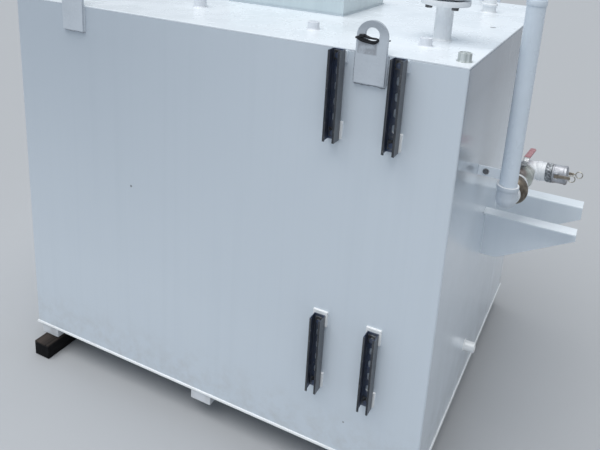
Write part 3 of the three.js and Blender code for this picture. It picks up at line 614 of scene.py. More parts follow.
# A round bar along a path, with an optional ripple as on a weld
def addSweep(bm, path, radius, ripple=0.0, pitch=0.006, closed=False):
    path = [Vector(p) for p in path]
    rings = []
    travelled = 0
    for i, point in enumerate(path):
        before = path[i - 1] if i or closed else path[0]
        after = path[(i + 1) % len(path)] if i + 1 < len(path) or closed else path[-1]
        travelled += (point - path[i - 1]).length if i else 0
        size = radius * (1 + ripple * math.sin(2 * math.pi * travelled / pitch)
                         + ripple * 0.7 * noise.noise(point * 90))
        ring = bmesh.ops.create_circle(bm, cap_ends=False, radius=size, segments=8,
                                       matrix=Matrix.Translation(point) @ facing(after - before))
        rings.append(ring["verts"])
    order = list(zip(rings, rings[1:])) + ([(rings[-1], rings[0])] if closed else [])
    for pair in order:
        loops = once(e for ring in pair for v in ring for e in v.link_edges if e.other_vert(v) in ring)
        bmesh.ops.bridge_loops(bm, edges=loops)
    if not closed:
        for ring in (rings[0], rings[-1]):
            bm.faces.new(ring if ring is rings[-1] else ring[::-1])
    bmesh.ops.recalc_face_normals(bm, faces=facesOf(v for ring in rings for v in ring))


def steppedLine(points, step):
    path = [Vector(points[0])]
    for start, end in zip(points, points[1:]):
        start, end = Vector(start), Vector(end)
        count = max(1, round((end - start).length / step))
        path += [start.lerp(end, n / count) for n in range(1, count + 1)]
    return path


# A weld bead along straight lines between points
def addBead(bm, points, step, radius, ripple, pitch):
    addSweep(bm, steppedLine(points, step), radius, ripple, pitch)


# The four sides of a level rectangle that stands out from two corners by reach, each as its two ends
def rectangleSides(low, high, z, reach):
    left, right, front, back = low.x - reach, high.x + reach, low.y - reach, high.y + reach
    corners = [Vector((x, y, z)) for x, y in ((left, front), (right, front), (right, back), (left, back))]
    return zip(corners, corners[1:] + corners[:1])


# A point on the smooth curve through four points, between the middle two
def curvePoint(before, start, end, after, share):
    before, start, end, after = map(Vector, (before, start, end, after))
    return 0.5 * (2 * start + (end - before) * share + (2 * before - 5 * start + 4 * end - after) * share ** 2
                  + (3 * start - before - 3 * end + after) * share ** 3)


# Tank body
bodyLook = {"wallRim": 0.0024, "padThickness": 0.008, "roofRim": 0.0016, "floorRim": 0.0022, "topRow": 1.5,
            "bead": {"step": 0.0064, "radius": 0.0041, "ripple": 0.05, "pitch": 0.013}, "beadOut": 0.0004,
            "beadUp": 0.0008}


def buildBody():
    rim = bodyLook["wallRim"]
    # The back wall takes the greyer wall paint with its painted shade; the side walls a lighter copy, painted
    # light, with painted shade and dark reflection high on the right wall
    for node, finish in (("back_wall", "wall"), ("left_wall", "side"), ("right_wall", "side")):
        roundedPiece(node + "_panel", node, rim, finish)
    # The front wall's spacer pads get a whiter copy of the paint, a painted highlight, but for the top row
    bm = roundedCopy("front_wall", rim)
    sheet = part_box("front_wall")[0].y + bodyLook["padThickness"]
    for face in bm.faces:
        middle = face.calc_center_median()
        face.material_index = 1 if middle.y < sheet - 0.0002 and middle.z < bodyLook["topRow"] else 0
    shapeObject("front_wall_panel", bm, "wall", replaced="front_wall", others=["pad"])
    roundedPiece("roof_panel", "roof_plate", bodyLook["roofRim"], "roof")
    # The floor plate takes the whiter edge paint, a painted highlight
    roundedPiece("floor_panel", "floor_plate", bodyLook["floorRim"], "edge")
    # Fillet bead between the walls and the floor plate's lip
    low = Vector((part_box("left_wall")[0].x, sheet, 0))
    high = Vector((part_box("right_wall")[1].x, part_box("back_wall")[1].y, 0))
    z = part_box("floor_plate")[1].z + bodyLook["beadUp"]
    bm = bmesh.new()
    for side in rectangleSides(low, high, z, bodyLook["beadOut"]):
        addBead(bm, side, **bodyLook["bead"])
    shapeObject("floor_weld", bm, "edge")


buildBody()
print("tank body is built")


# Runners and bearers
supportLook = {"runnerRim": 0.003, "rim": 0.004, "lengthCuts": 60, "unevenness": 0.0012, "wider": 0.016}


def buildSupports():
    look = supportLook
    for node in ("runner_left", "runner_middle", "runner_right"):
        roundedPiece(node + "_beam", node, look["runnerRim"], "support", 3)
    for node in ("bearer_left", "bearer_right"):
        low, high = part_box(node)
        low.x -= look["wider"]
        bm = bmesh.new()
        addBlock(bm, low, high, look["rim"], segments=3)
        for cut in range(1, look["lengthCuts"]):
            y = low.y + (high.y - low.y) * cut / look["lengthCuts"]
            bmesh.ops.bisect_plane(bm, geom=bm.verts[:] + bm.edges[:] + bm.faces[:], plane_co=(0, y, 0),
                                   plane_no=(0, 1, 0))
        # The faces sink a little here and there, but for the underside
        for v in bm.verts:
            inward = Vector(((low.x + high.x) / 2 - v.co.x, 0, (low.z + high.z) / 2 - v.co.z)).normalized()
            rise = abs(noise.noise(Vector((v.co.x * 30, v.co.y * 5, v.co.z * 30))))
            if v.co.z > 0.01:
                v.co += inward * rise * look["unevenness"]
        shapeObject(node + "_timber", bm, "timber", replaced=node)


buildSupports()
print("runners and bearers are built")


# Lifting lugs and the cable tie
lugSides = {"lug_front_left": -1, "lug_front_right": -1, "lug_rear_left": 1, "lug_rear_right": 1}
lugLook = {"rim": 0.0012, "beadRadius": 0.0042, "beadStep": 0.003, "beadOut": 0.0006, "waver": 0.0030,
           "wavePitch": 0.058, "toe": 0.0044, "toeRadius": (0.0008, 0.0030), "faintToe": 0.6,
           "beadRipple": (0.08, 0.011), "toeRipple": (0.25, 0.021), "sideRipple": (0.3, 0.017)}


def buildLugs():
    look = lugLook
    out, toe, (thin, broad) = look["beadOut"], look["toe"], look["toeRadius"]
    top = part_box("roof_plate")[0].z
    for node, side in lugSides.items():
        roundedPiece(node + "_plate", node, look["rim"], "lug", 3)
        low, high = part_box(node)
        y = (high.y if side < 0 else low.y) + side * out
        path = steppedLine([(low.x - out, y, top), (low.x - out, y, low.z), (high.x + out, y, low.z),
                            (high.x + out, y, top)], look["beadStep"])
        foot = [abs(point.z - low.z) < 1e-6 for point in path]
        for point, level in zip(path, foot):
            if level:
                wave = math.cos(2 * math.pi * (point.x - low.x) / look["wavePitch"])
                point.z += look["waver"] * (0.5 * wave + 0.7 * noise.noise(Vector((point.x * 40, 0, 3.1))))
        bm = bmesh.new()
        addSweep(bm, path, look["beadRadius"], *look["beadRipple"])
        shapeObject(node + "_weld", bm, "lug")
        # Painted shadow and grime in the toe of the bead: a broad dark wavy line below, hairlines at the
        # sides
        bm = bmesh.new()
        below = [point - Vector((0, 0, toe)) for point, level in zip(path, foot) if level]
        strong = node.endswith("front_right")
        addSweep(bm, below, broad if strong else broad * look["faintToe"], *look["toeRipple"])
        for way in (-1, 1):
            edge = [point + Vector((way * toe, 0, 0)) for point, level in zip(path, foot)
                    if not level and (point.x - (low.x + high.x) / 2) * way > 0]
            if len(edge) > 1 and not node.endswith("front_left"):
                addSweep(bm, edge, thin, *look["sideRipple"])
        shapeObject(node + "_seam", bm, "seam")


tieLook = {
    "upper": [(0.3878, 1.6541), (0.4017, 1.6608), (0.4137, 1.6650), (0.4223, 1.6618), (0.4390, 1.6577),
              (0.4580, 1.6568)],
    "lower": [(0.3895, 1.6515), (0.4032, 1.6446), (0.4241, 1.6415), (0.4447, 1.6406), (0.4560, 1.6466),
              (0.4590, 1.6540)],
    "strands": [(0, 0), (0.16, 0.13), (0.33, 0.27), (0.5, 0.71), (0.66, 0.80), (0.83, 0.90), (1, 1)],
    "thickness": 0.0019,
    "clear": (0.0022, 0.0024),
    "hole": (0.4475, 1.6545),
    "leftHeight": 1.6535,
    "backHeight": 1.6530,
    "drop": 0.003,
    "proud": 0.0006,
    "lock": ((0.3985, 1.6560), (0.4130, 1.6655)),
    "lockRim": 0.0016,
    "tail": [(0.4520, -0.7450, 1.6535), (0.4620, -0.7366, 1.6518), (0.4815, -0.7364, 1.6514),
             (0.4912, -0.7370, 1.6544)],
}


# A strap of loose strands round the lug's left limb: in front they part below the hole, then go through it
def buildTie():
    look = tieLook
    low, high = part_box("lug_front_right")
    left, front, back = low.x - look["clear"][0], low.y - look["clear"][1], high.y + look["clear"][1]
    holeX, holeZ = look["hole"]
    last = len(look["upper"]) - 1
    bm = bmesh.new()
    for atLeft, atRight in look["strands"]:
        proud = look["proud"] * math.cos(atLeft * 19)
        path = [(left, front + 0.004, look["leftHeight"] - atLeft * look["drop"])]
        for n, (upper, lower) in enumerate(zip(look["upper"], look["lower"])):
            share = atLeft + (atRight - atLeft) * max(0, min(1, (n - 1) / (last - 2)))
            x, z = (a + (b - a) * share for a, b in zip(upper, lower))
            path.append((x, front + proud, z))
        behind = look["backHeight"] - share * look["drop"]
        path += [(holeX + 0.004, front - 0.001, holeZ + 0.001), (holeX, (front + back) / 2, holeZ),
                 (holeX - 0.003, back, holeZ - share * 0.002), (left + 0.01, back, behind),
                 (left, back - 0.003, behind)]
        count = len(path)
        smooth = [curvePoint(path[i - 1], path[i], path[(i + 1) % count], path[(i + 2) % count], step / 4)
                  for i in range(count) for step in range(4)]
        addSweep(bm, smooth, look["thickness"], closed=True)
    addSweep(bm, steppedLine(look["tail"], 0.003), look["thickness"])
    (startX, startZ), (endX, endZ) = look["lock"]
    addBlock(bm, (startX, front - 0.0050, startZ), (endX, front + 0.0008, endZ), look["lockRim"], segments=3)
    shapeObject("cable_tie_strap", bm, "nylon", replaced="cable_tie")


buildLugs()
buildTie()
print("lifting lugs and the cable tie are built")


# Slotted channels
channelLook = {"rim": 0.0005, "back": 0.0025, "boltReach": 0.0153, "boltDepth": 0.012,
               "boltHeights": (0.025, 0.275)}


def buildChannels():
    look = channelLook
    for node in ("channel_upper_left", "channel_upper_right", "channel_lower_left", "channel_lower_right"):
        low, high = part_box(node)
        bm = roundedCopy(node, look["rim"])
        for face in bm.faces:
            centre = face.calc_center_median()
            across = abs(centre.x - (low.x + high.x) / 2)
            nearBolt = min(abs(centre.z - low.z - z) for z in look["boltHeights"]) < look["boltReach"]
            proud = high.y - look["boltDepth"] < centre.y < high.y - look["back"] - 0.0003
            # Painted light and shade: flanks take a lighter copy of the steel, front lips a darker one; faces
            # by the bolts take bolt steel
            if nearBolt and across < look["boltReach"] and proud:
                face.material_index = 1
            elif across > (high.x - low.x) / 2 - look["rim"] * 0.9:
                face.material_index = 2
            elif centre.y < low.y + look["rim"]:
                face.material_index = 3
        shapeObject(node + "_rail", bm, "channel", replaced=node,
                    others=["bolt", "channelLitFlank", "channelShadedLip"])


buildChannels()
print("slotted channels are built")


# Hatch
hatchLook = {"curbRim": 0.0015, "rim": 0.0025, "boltInset": 0.020, "boltsPerSide": 5, "boltFlats": 0.017,
             "boltTop": 0.0083, "washer": 0.0125, "washerTop": 0.0018,
             "bead": {"step": 0.006, "radius": 0.0038, "ripple": 0.08, "pitch": 0.012}, "beadOut": 0.001}


def buildHatch():
    look = hatchLook
    # Curb, lid and weld take the hatch paint: greyer, a painted shade, with a painted shadow at the foot
    roundedPiece("hatch_curb", "hatch_frame", look["curbRim"], "hatch")
    roundedPiece("hatch_lid", "hatch_cover", look["rim"], "hatch", 3)
    low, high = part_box("hatch_frame")
    bm = bmesh.new()
    for side in rectangleSides(low, high, low.z + look["beadOut"], look["beadOut"]):
        addBead(bm, side, **look["bead"])
    shapeObject("hatch_weld", bm, "hatch")
    low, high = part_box("hatch_cover")
    bm = bmesh.new()
    for start, end in rectangleSides(low, high, high.z, -look["boltInset"]):
        for n in range(look["boltsPerSide"]):
            addStack(bm, Matrix.Translation(start.lerp(end, n / look["boltsPerSide"])),
                     (addRod, -0.0004, look["washerTop"], look["washer"], 0.0004),
                     (addHexagon, look["washerTop"] - 0.0002, look["boltTop"], look["boltFlats"], 0.0010))
    shapeObject("hatch_bolts", bm, "brightBolt")


buildHatch()
print("hatch is built")


# Sockets, vent stub and drain
socketLook = {"chamfer": 0.0016, "fillet": 0.004, "plugShare": 0.72, "recess": 0.0022, "keyShare": 0.34}


# The socket stands on z = 0 and is then placed
def socketShape(radius, height, place):
    chamfer, fillet, recess = socketLook["chamfer"], socketLook["fillet"], socketLook["recess"]
    plug = radius * socketLook["plugShare"]
    plugTop = height - recess * 0.4
    bm = bmesh.new()
    addTurned(bm, [(0, 0), (radius + fillet, 0), (radius + fillet * 0.75, fillet * 0.35),
                   (radius + fillet * 0.25, fillet * 0.8), (radius, fillet * 1.4), (radius, height - chamfer),
                   (radius - chamfer * 0.3, height - chamfer * 0.3), (radius - chamfer, height),
                   (plug + 0.0012, height), (plug + 0.0008, height - recess),
                   (plug - 0.0006, height - recess), (plug - 0.0012, plugTop), (plug - 0.003, plugTop),
                   (0, plugTop)], place)
    side = plug * socketLook["keyShare"]
    keyFoot = height - recess * 0.5
    addBlock(bm, (-side, -side, keyFoot), (side, side, keyFoot + 0.0022), 0.0006, place)
    return bm


def buildSockets():
    # The roof sockets take a greyer copy of the pipe paint, a painted shade; the corner one its worn paint
    for node, finish in (("roof_socket_corner", "thread"), ("roof_socket_right", "socket"),
                         ("roof_socket_middle", "socket"), ("roof_socket_left", "socket")):
        low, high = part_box(node)
        bm = socketShape((high.x - low.x) / 2, high.z - low.z, uprightAt(node, low.z))
        shapeObject(node + "_boss", bm, finish, replaced=node)
    low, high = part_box("drain_socket")
    place = Matrix.Translation((low.x, (low.y + high.y) / 2, (low.z + high.z) / 2)) @ layDown
    bm = socketShape((high.y - low.y) / 2, high.x - low.x, place)
    shapeObject("drain_socket_boss", bm, "pad", replaced="drain_socket")


def buildVent():
    low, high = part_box("vent_stub")
    height = high.z - low.z
    bm = bmesh.new()
    addTurned(bm, [(0, 0), (0.034, 0), (0.031, 0.0025), (0.0295, 0.006), (0.0295, 0.027), (0.0337, 0.0285),
                   (0.0345, 0.0305), (0.0345, 0.0355), (0.0337, 0.0375), (0.0315, 0.0385), (0.0286, 0.0388),
                   (0.028, 0.041), (0.028, height - 0.010), (0.027, height - 0.006), (0.024, height - 0.0025),
                   (0.018, height - 0.0006), (0, height)], uprightAt("vent_stub", low.z))
    shapeObject("vent_stub_cap", bm, "fitting", replaced="vent_stub")


buildSockets()
buildVent()
print("sockets, vent stub and drain are built")


# Flanged nozzle
flangeLook = {"rim": 0.0012, "raisedFace": (0.051, 0.002), "thickness": 0.018, "boltCircle": 0.0625,
              "boltRadius": 0.008, "nutFlats": 0.024, "washer": 0.0145, "headWasher": 0.0125,
              "headFlats": 0.022, "headHeight": 0.0112}


def buildNozzle():
    look = flangeLook
    low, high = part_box("roof_nozzle")
    gasketLow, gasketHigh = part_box("flange_gasket")
    riserLow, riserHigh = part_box("fill_riser")
    place = uprightAt("roof_nozzle")
    pipe, radius = (riserHigh.x - riserLow.x) / 2, (high.x - low.x) / 2
    face, proud = look["raisedFace"]
    top = gasketLow.z - proud
    under = top - look["thickness"]
    base = low.z
    neck = [(0, base), (pipe + 0.007, base), (pipe + 0.0045, base + 0.002), (pipe + 0.0015, base + 0.0055),
            (pipe, base + 0.010), (pipe, under - 0.008), (pipe + 0.0015, under - 0.0045),
            (pipe + 0.0045, under - 0.0015), (pipe + 0.0075, under)]
    bm = bmesh.new()
    addTurned(bm, neck + roundedRim(radius, under, top, look["rim"])
              + [(face, top), (face - 0.0006, top + proud), (0, top + proud)], place, 80)
    shapeObject("roof_nozzle_flange", bm, "fitting", replaced="roof_nozzle")

    foot, head, wide = gasketLow.z, gasketHigh.z, (gasketHigh.x - gasketLow.x) / 2
    bm = bmesh.new()
    addTurned(bm, [(0, foot), (wide - 0.0006, foot), (wide, (foot + head) / 2), (wide - 0.0006, head),
                   (0, head)], place)
    shapeObject("flange_gasket_ring", bm, "rubber", replaced="flange_gasket")

    dropUnder = head + proud
    dropTop = dropUnder + look["thickness"]
    bm = bmesh.new()
    addTurned(bm, [(0, head), (face - 0.0006, head), (face, dropUnder)]
              + roundedRim(radius, dropUnder, dropTop, look["rim"]) + [(0, dropTop)], place, 80)
    shapeObject("drop_flange_disc", bm, "fitting", replaced="drop_flange")

    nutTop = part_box("drop_flange")[1].z
    for quarter in range(4):
        turn = Matrix.Rotation(math.pi / 4 + quarter * math.pi / 2, 4, "Z")
        bolt = place @ Matrix.Translation(turn @ Vector((look["boltCircle"], 0, 0)))
        bm = bmesh.new()
        addStack(bm, bolt, (addRod, under - 0.002, dropTop + 0.002, look["boltRadius"], 0.001),
                 (addRod, dropTop, dropTop + 0.0025, look["washer"], 0.0004),
                 (addHexagon, dropTop + 0.0024, nutTop, look["nutFlats"], 0.0012),
                 (addRod, under - 0.0028, under - 0.0002, look["headWasher"], 0.0004),
                 (addHexagon, under - look["headHeight"], under - 0.0027, look["headFlats"], 0.0012))
        shapeObject("flange_bolt_%d" % (quarter + 1), bm, "bolt")


buildNozzle()
print("flanged nozzle is built")


# Fill line
pipeLook = {"radius": 0.03015, "bend": 0.040, "levelHeight": 1.822, "flangeDepth": 0.0105, "collar": 0.0325,
            "levelCollar": 0.0365, "collarWidth": 0.018, "rimRound": 0.0009}


def buildRiser():
    low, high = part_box("fill_riser")
    radius = pipeLook["radius"]
    bm = bmesh.new()
    addTurned(bm, [(0, low.z), (radius, low.z), (radius, high.z), (0, high.z)], uprightAt("fill_riser"), 72)
    shapeObject("fill_riser_pipe", bm, "pipe", replaced="fill_riser")


# The bend goes over from the riser to the flange: two quarter bends, a level run and three collars
def buildBend():
    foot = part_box("fill_bend")[0].z
    riserX, y = uprightAt("fill_riser").translation.xy
    nozzleX = uprightAt("roof_nozzle").translation.x
    radius, bend, level = pipeLook["radius"], pipeLook["bend"], pipeLook["levelHeight"]
    bm = bmesh.new()
    bmesh.ops.create_circle(bm, cap_ends=True, radius=radius, segments=48,
                            matrix=Matrix.Translation((riserX, y, foot)))
    faces = bm.faces[:]

    def carry(offset):
        nonlocal faces
        made = bmesh.ops.extrude_face_region(bm, geom=faces)["geom"]
        bmesh.ops.delete(bm, geom=faces, context="FACES_ONLY")
        bmesh.ops.translate(bm, vec=offset, verts=[g for g in made if isinstance(g, bmesh.types.BMVert)])
        faces = [g for g in made if isinstance(g, bmesh.types.BMFace)]

    def swing(x):
        nonlocal faces
        made = bmesh.ops.spin(bm, geom=faces, cent=(x, y, level - bend), axis=(0, 1, 0), angle=-math.pi / 2,
                              steps=12)["geom_last"]
        bmesh.ops.delete(bm, geom=faces, context="FACES_ONLY")
        faces = [g for g in made if isinstance(g, bmesh.types.BMFace)]

    carry((0, 0, level - bend - foot))
    swing(riserX - bend)
    carry((nozzleX + bend - (riserX - bend), 0, 0))
    swing(nozzleX + bend)
    carry((0, 0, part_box("drop_flange")[1].z - pipeLook["flangeDepth"] - (level - bend)))
    bmesh.ops.holes_fill(bm, edges=[e for e in bm.edges if e.is_boundary])
    bmesh.ops.recalc_face_normals(bm, faces=bm.faces)
    # The collar on the riser is slimmer than the two on the level run
    width, inner = pipeLook["collarWidth"], radius - 0.001
    for collar, at, turn in (("collar", (riserX, y, foot), asMade),
                             ("levelCollar", (riserX - bend - width, y, level), layDown),
                             ("levelCollar", (nozzleX + bend, y, level), layDown)):
        rim = roundedRim(pipeLook[collar], 0, width, pipeLook["rimRound"])
        addTurned(bm, [(inner, -0.0005)] + rim + [(inner, width + 0.0005)], Matrix.Translation(at) @ turn, 56,
                  closed=True)
    shapeObject("fill_bend_pipe", bm, "pipe", replaced="fill_bend")


buildRiser()
buildBend()
print("riser and fill bend are built")


# Branch with its valves
branchLook = {
    "turn": math.radians(86),
    "height": 1.100,
    "reach": 0.050,
    "legRadius": 0.035,
    "ballRadius": 0.036,
    "bore": 0.0308,
    "voxel": 0.0014,
    "smoothing": (12, 0.7),
    "collarRadius": 0.0375,
    "collarWidth": 0.016,
    "checkEnds": (0.0503, 0.145),
    "valveEnds": (0.1453, 0.2757),
    "valveMiddle": 0.216,
    "valveFlats": 0.066,
    "elbowMiddle": 0.326,
    "outletTilt": math.radians(-4),
    "capRoll": math.radians(-8),
}
branchPlace = uprightAt("fill_riser", branchLook["height"]) @ Matrix.Rotation(branchLook["turn"], 4, "Z")
outletPlace = (branchPlace @ Matrix.Translation((branchLook["elbowMiddle"], 0, 0))
               @ Matrix.Rotation(branchLook["outletTilt"], 4, "X") @ Matrix.Rotation(-math.pi / 2, 4, "Z"))
capPlace = outletPlace @ Matrix.Rotation(branchLook["capRoll"], 4, "X")


# A compact elbow from z to x: legs and heel are fused and smoothed as one casting, then the collars go on
def elbowShape(place):
    look = branchLook
    leg, reach, collar = look["legRadius"], look["reach"], look["collarRadius"]
    bm = bmesh.new()
    for way in (asMade, layDown):
        addTurned(bm, [(0, 0), (leg, 0), (leg, reach - 0.002), (0, reach - 0.002)], way, 44)
    bmesh.ops.create_uvsphere(bm, u_segments=44, v_segments=28, radius=look["ballRadius"])
    mesh = bpy.data.meshes.new("elbowCore")
    bm.to_mesh(mesh)
    bm.free()
    core = addToScene("elbowCore", mesh)
    cast = core.modifiers.new("cast", "REMESH")
    cast.mode = "VOXEL"
    cast.voxel_size = look["voxel"]
    even = core.modifiers.new("even", "SMOOTH")
    even.iterations, even.factor = look["smoothing"]
    shown = core.evaluated_get(bpy.context.evaluated_depsgraph_get())
    bm = bmesh.new()
    bm.from_mesh(shown.to_mesh())
    bpy.data.objects.remove(core)
    start = reach - look["collarWidth"]
    profile = [(leg - 0.004, start - 0.002), (leg + 0.0003, start - 0.002), (collar - 0.0008, start),
               (collar, start + 0.0025), (collar, reach - 0.0012), (collar - 0.0004, reach - 0.0003),
               (collar - 0.0012, reach), (look["bore"], reach), (look["bore"], reach - 0.004)]
    for way in (asMade, layDown):
        addTurned(bm, profile, way, 56, closed=True)
    bmesh.ops.transform(bm, matrix=place, verts=bm.verts)
    return bm


# Points on a quarter wave from one (radius, height) pair to another
def swell(first, last, steps, rising):
    points = []
    for n in range(steps + 1):
        turn = math.pi / 2 * n / steps
        share = math.sin(turn) if rising else 1 - math.cos(turn)
        points.append((first[0] + (last[0] - first[0]) * share, first[1] + (last[1] - first[1]) * n / steps))
    return points


def buildElbowAndCheck():
    look = branchLook
    bm = elbowShape(branchPlace)
    outward = branchPlace.to_3x3() @ Vector((1, 0, 0))
    # The collars take the whiter fitting paint, a painted highlight, and the body the greyer elbow paint, a
    # painted shade
    for face in bm.faces:
        middle = face.calc_center_median() - branchPlace.translation
        atOutlet = middle.dot(outward) > look["reach"] - look["collarWidth"] - 0.0015
        face.material_index = 1 if atOutlet or middle.z > look["reach"] - 0.0013 else 0
    shapeObject("branch_elbow_casting", bm, "elbow", replaced="branch_elbow", others=["fitting"])
    start, end = look["checkEnds"]
    profile = [(0, start), (0.0365, start), (0.0376, start + 0.0010), (0.0382, start + 0.0040)]
    profile += swell((0.0390, start + 0.0070), (0.0520, start + 0.0370), 10, rising=True)
    profile += swell((0.0520, start + 0.0390), (0.0370, end - 0.0080), 14, rising=False)
    profile += [(0.0345, end - 0.0060), (0.0345, end), (0, end)]
    bm = bmesh.new()
    addTurned(bm, profile, branchPlace @ layDown, 72)
    shapeObject("check_valve_casting", bm, "bronze", replaced="check_valve_body")


def buildBallValve():
    start, end = branchLook["valveEnds"]
    middle = branchLook["valveMiddle"]
    bm = bmesh.new()
    for near, far in ((start + 0.008, start + 0.028), (end - 0.024, end)):
        addHexagon(bm, (near, 0, 0), (far, 0, 0), branchLook["valveFlats"], 0.002, branchPlace)
    ball = [(0, start + 0.026), (0.031, start + 0.026), (0.0320, start + 0.0320)]
    ball += [(0.0340 + 0.0070 * math.sin(math.pi * n / 16), middle - 0.032 + 0.062 * n / 16)
             for n in range(17)]
    ball += [(0.0335, end - 0.0265), (0.032, end - 0.022), (0, end - 0.022)]
    addTurned(bm, ball, branchPlace @ layDown, 64)
    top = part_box("valve_lever")[0].z - branchLook["height"]
    stem = branchPlace @ Matrix.Translation((middle, 0, 0))
    addTurned(bm, [(0, 0.02), (0.0165, 0.02), (0.0160, 0.036), (0.0135, 0.041), (0.013, top - 0.0035),
                   (0.0122, top - 0.0010), (0, top - 0.0010)], stem, 40)
    shapeObject("ball_valve_casting", bm, "nickel", replaced="ball_valve_body")
    bm = bmesh.new()
    addTurned(bm, [(0.028, start), (0.0368, start), (0.0385, start + 0.0018), (0.0385, start + 0.0062),
                   (0.0372, start + 0.008), (0.028, start + 0.008)], branchPlace @ layDown, 64, closed=True)
    shapeObject("ball_valve_ring", bm, "fitting")


leverLook = {"length": 0.156, "width": 0.022, "thickness": 0.004, "level": 1.153, "rise": 0.012,
             "crank": (0.027, 0.039), "tail": 0.016, "corner": 0.006, "sleeveFrom": 0.043,
             "sleeveThick": 0.0068, "sleeveCorner": 0.009, "sleeveRim": 0.0024, "nutFlats": 0.017,
             "washer": 0.0105, "stud": 0.0048}


def buildLever():
    look = leverLook
    up = look["level"] - branchLook["height"]
    place = branchPlace @ Matrix.Translation((branchLook["valveMiddle"], 0, up))
    half, thick, rise, length = look["width"] / 2, look["thickness"], look["rise"], look["length"]
    (start, end), tail = look["crank"], look["tail"]
    outline = [(-tail, 0), (start, 0), (end, rise), (length - 0.003, rise), (length - 0.003, rise + thick),
               (end - thick / 2, rise + thick), (start - thick / 2, thick), (-tail, thick)]
    bm = bmesh.new()
    side = bm.faces.new([bm.verts.new((x, -half + 0.001, z)) for x, z in outline])
    made = bmesh.ops.extrude_face_region(bm, geom=[side])["geom"]
    bmesh.ops.translate(bm, vec=(0, look["width"] - 0.002, 0),
                        verts=[g for g in made if isinstance(g, bmesh.types.BMVert)])
    bmesh.ops.recalc_face_normals(bm, faces=bm.faces)

    def uprightEdges(shortest):
        ends = [(e, e.verts[0].co, e.verts[1].co) for e in bm.edges]
        return [e for e, a, b in ends if abs(a.z - b.z) > shortest and abs(a.x - b.x) < 1e-6]

    bevelEdges(bm, uprightEdges(thick * 0.9), look["corner"], 6)
    roundRims(bm, bm.verts, 0.0006)
    addRod(bm, (0, 0, -0.0034), (0, 0, 0.001), 0.006)
    bmesh.ops.transform(bm, matrix=place, verts=bm.verts)
    shapeObject("valve_lever_bar", bm, "brightBolt", "lever", "valve_lever")

    bm = bmesh.new()
    grow = (look["sleeveThick"] - thick) / 2
    addBlock(bm, (look["sleeveFrom"], -half, rise - grow), (length, half, rise + thick + grow))
    tip = [e for e in uprightEdges(0.004) if e.verts[0].co.x > length - 0.001]
    bevelEdges(bm, tip, look["sleeveCorner"], 7)
    roundRims(bm, bm.verts, look["sleeveRim"], 4)
    bmesh.ops.transform(bm, matrix=place, verts=bm.verts)
    shapeObject("valve_lever_sleeve", bm, "sleeve", "lever")

    bm = bmesh.new()
    addStack(bm, place, (addRod, thick - 0.0004, thick + 0.0018, look["washer"], 0.0004),
             (addHexagon, thick + 0.0016, thick + 0.0082, look["nutFlats"], 0.0009),
             (addRod, thick + 0.006, thick + 0.0105, look["stud"], 0.0008))
    shapeObject("valve_lever_nut", bm, "brightBolt", "lever")


buildElbowAndCheck()
buildBallValve()
buildLever()
print("branch, valves and lever are built")


# Fill connection
capLook = {"adapter": (0.067, 0.090), "flats": 0.069, "cap": (0.092, 0.142), "radius": 0.036,
           "pinAlong": 0.108, "pinOut": 0.045, "pinRadius": 0.003, "ear": (0.0075, 0.0125),
           "armLength": 0.050, "ringRadius": 0.012, "wire": 0.0019, "ringShift": (-0.005, 0.0085),
           "link": (0.0062, 0.0015, 0.0017)}
# Turns a shape made along z to lie along y
turnOver = Matrix.Rotation(math.pi / 2, 4, "X")


def buildConnection():
    look = capLook
    bm = elbowShape(outletPlace @ turnOver)
    start, end = branchLook["reach"] - 0.002, look["adapter"][0] - 0.0004
    addTurned(bm, [(0.028, start), (0.0352, start), (0.0355, start + 0.004), (0.0355, end - 0.002),
                   (0.0345, end), (0.028, end)], outletPlace @ layDown, 56, closed=True)
    shapeObject("fill_elbow_casting", bm, "fitting", replaced="fill_elbow")

    start, end = look["adapter"]
    bm = bmesh.new()
    addHexagon(bm, (start, 0, 0), (end, 0, 0), look["flats"], 0.0026, outletPlace)
    addTurned(bm, [(0, end - 0.002), (0.0305, end - 0.002), (0.031, end + 0.001), (0.031, end + 0.012),
                   (0.0285, end + 0.0145), (0.027, end + 0.019), (0.0285, end + 0.0235), (0.031, end + 0.027),
                   (0.031, end + 0.035), (0.0295, end + 0.037), (0, end + 0.037)], outletPlace @ layDown, 56)
    shapeObject("camlock_adapter_casting", bm, "adapter", replaced="camlock_adapter")

    start, end = look["cap"]
    radius = look["radius"]
    bm = bmesh.new()
    addTurned(bm, [(0.0325, start), (radius - 0.0008, start), (radius, start + 0.001),
                   (radius, start + 0.005), (radius - 0.0016, start + 0.007),
                   (radius - 0.0016, end - 0.011), (radius, end - 0.0095),
                   (radius, end - 0.004), (radius - 0.0012, end - 0.0012), (radius - 0.004, end),
                   (radius - 0.012, end - 0.0004), (radius - 0.0135, end - 0.0016), (0, end - 0.0016),
                   (0, end - 0.0147), (0.0325, end - 0.0147)], capPlace @ layDown, 64, closed=True)
    # Two pairs of ears with a pin through each pair
    inner, outer = look["ear"]
    pin, out = look["pinAlong"], look["pinOut"]
    for side in (-1, 1):
        near, far = sorted((side * (radius - 0.005), side * (out + 0.007)))
        for low in (-outer, inner):
            high = low + outer - inner
            addBlock(bm, (pin - 0.008, near, low), (pin + 0.008, far, high), 0.0016, capPlace, 3)
        addRod(bm, (pin, side * out, -outer - 0.0008), (pin, side * out, outer + 0.0008), look["pinRadius"],
               0.0006, capPlace, 28)
    shapeObject("dust_cap_casting", bm, "alloy", replaced="dust_cap")


# The round section of a wire ring
def wireRim(ring, wire):
    return [(ring + wire * math.cos(math.pi * n / 6), wire * math.sin(math.pi * n / 6)) for n in range(12)]


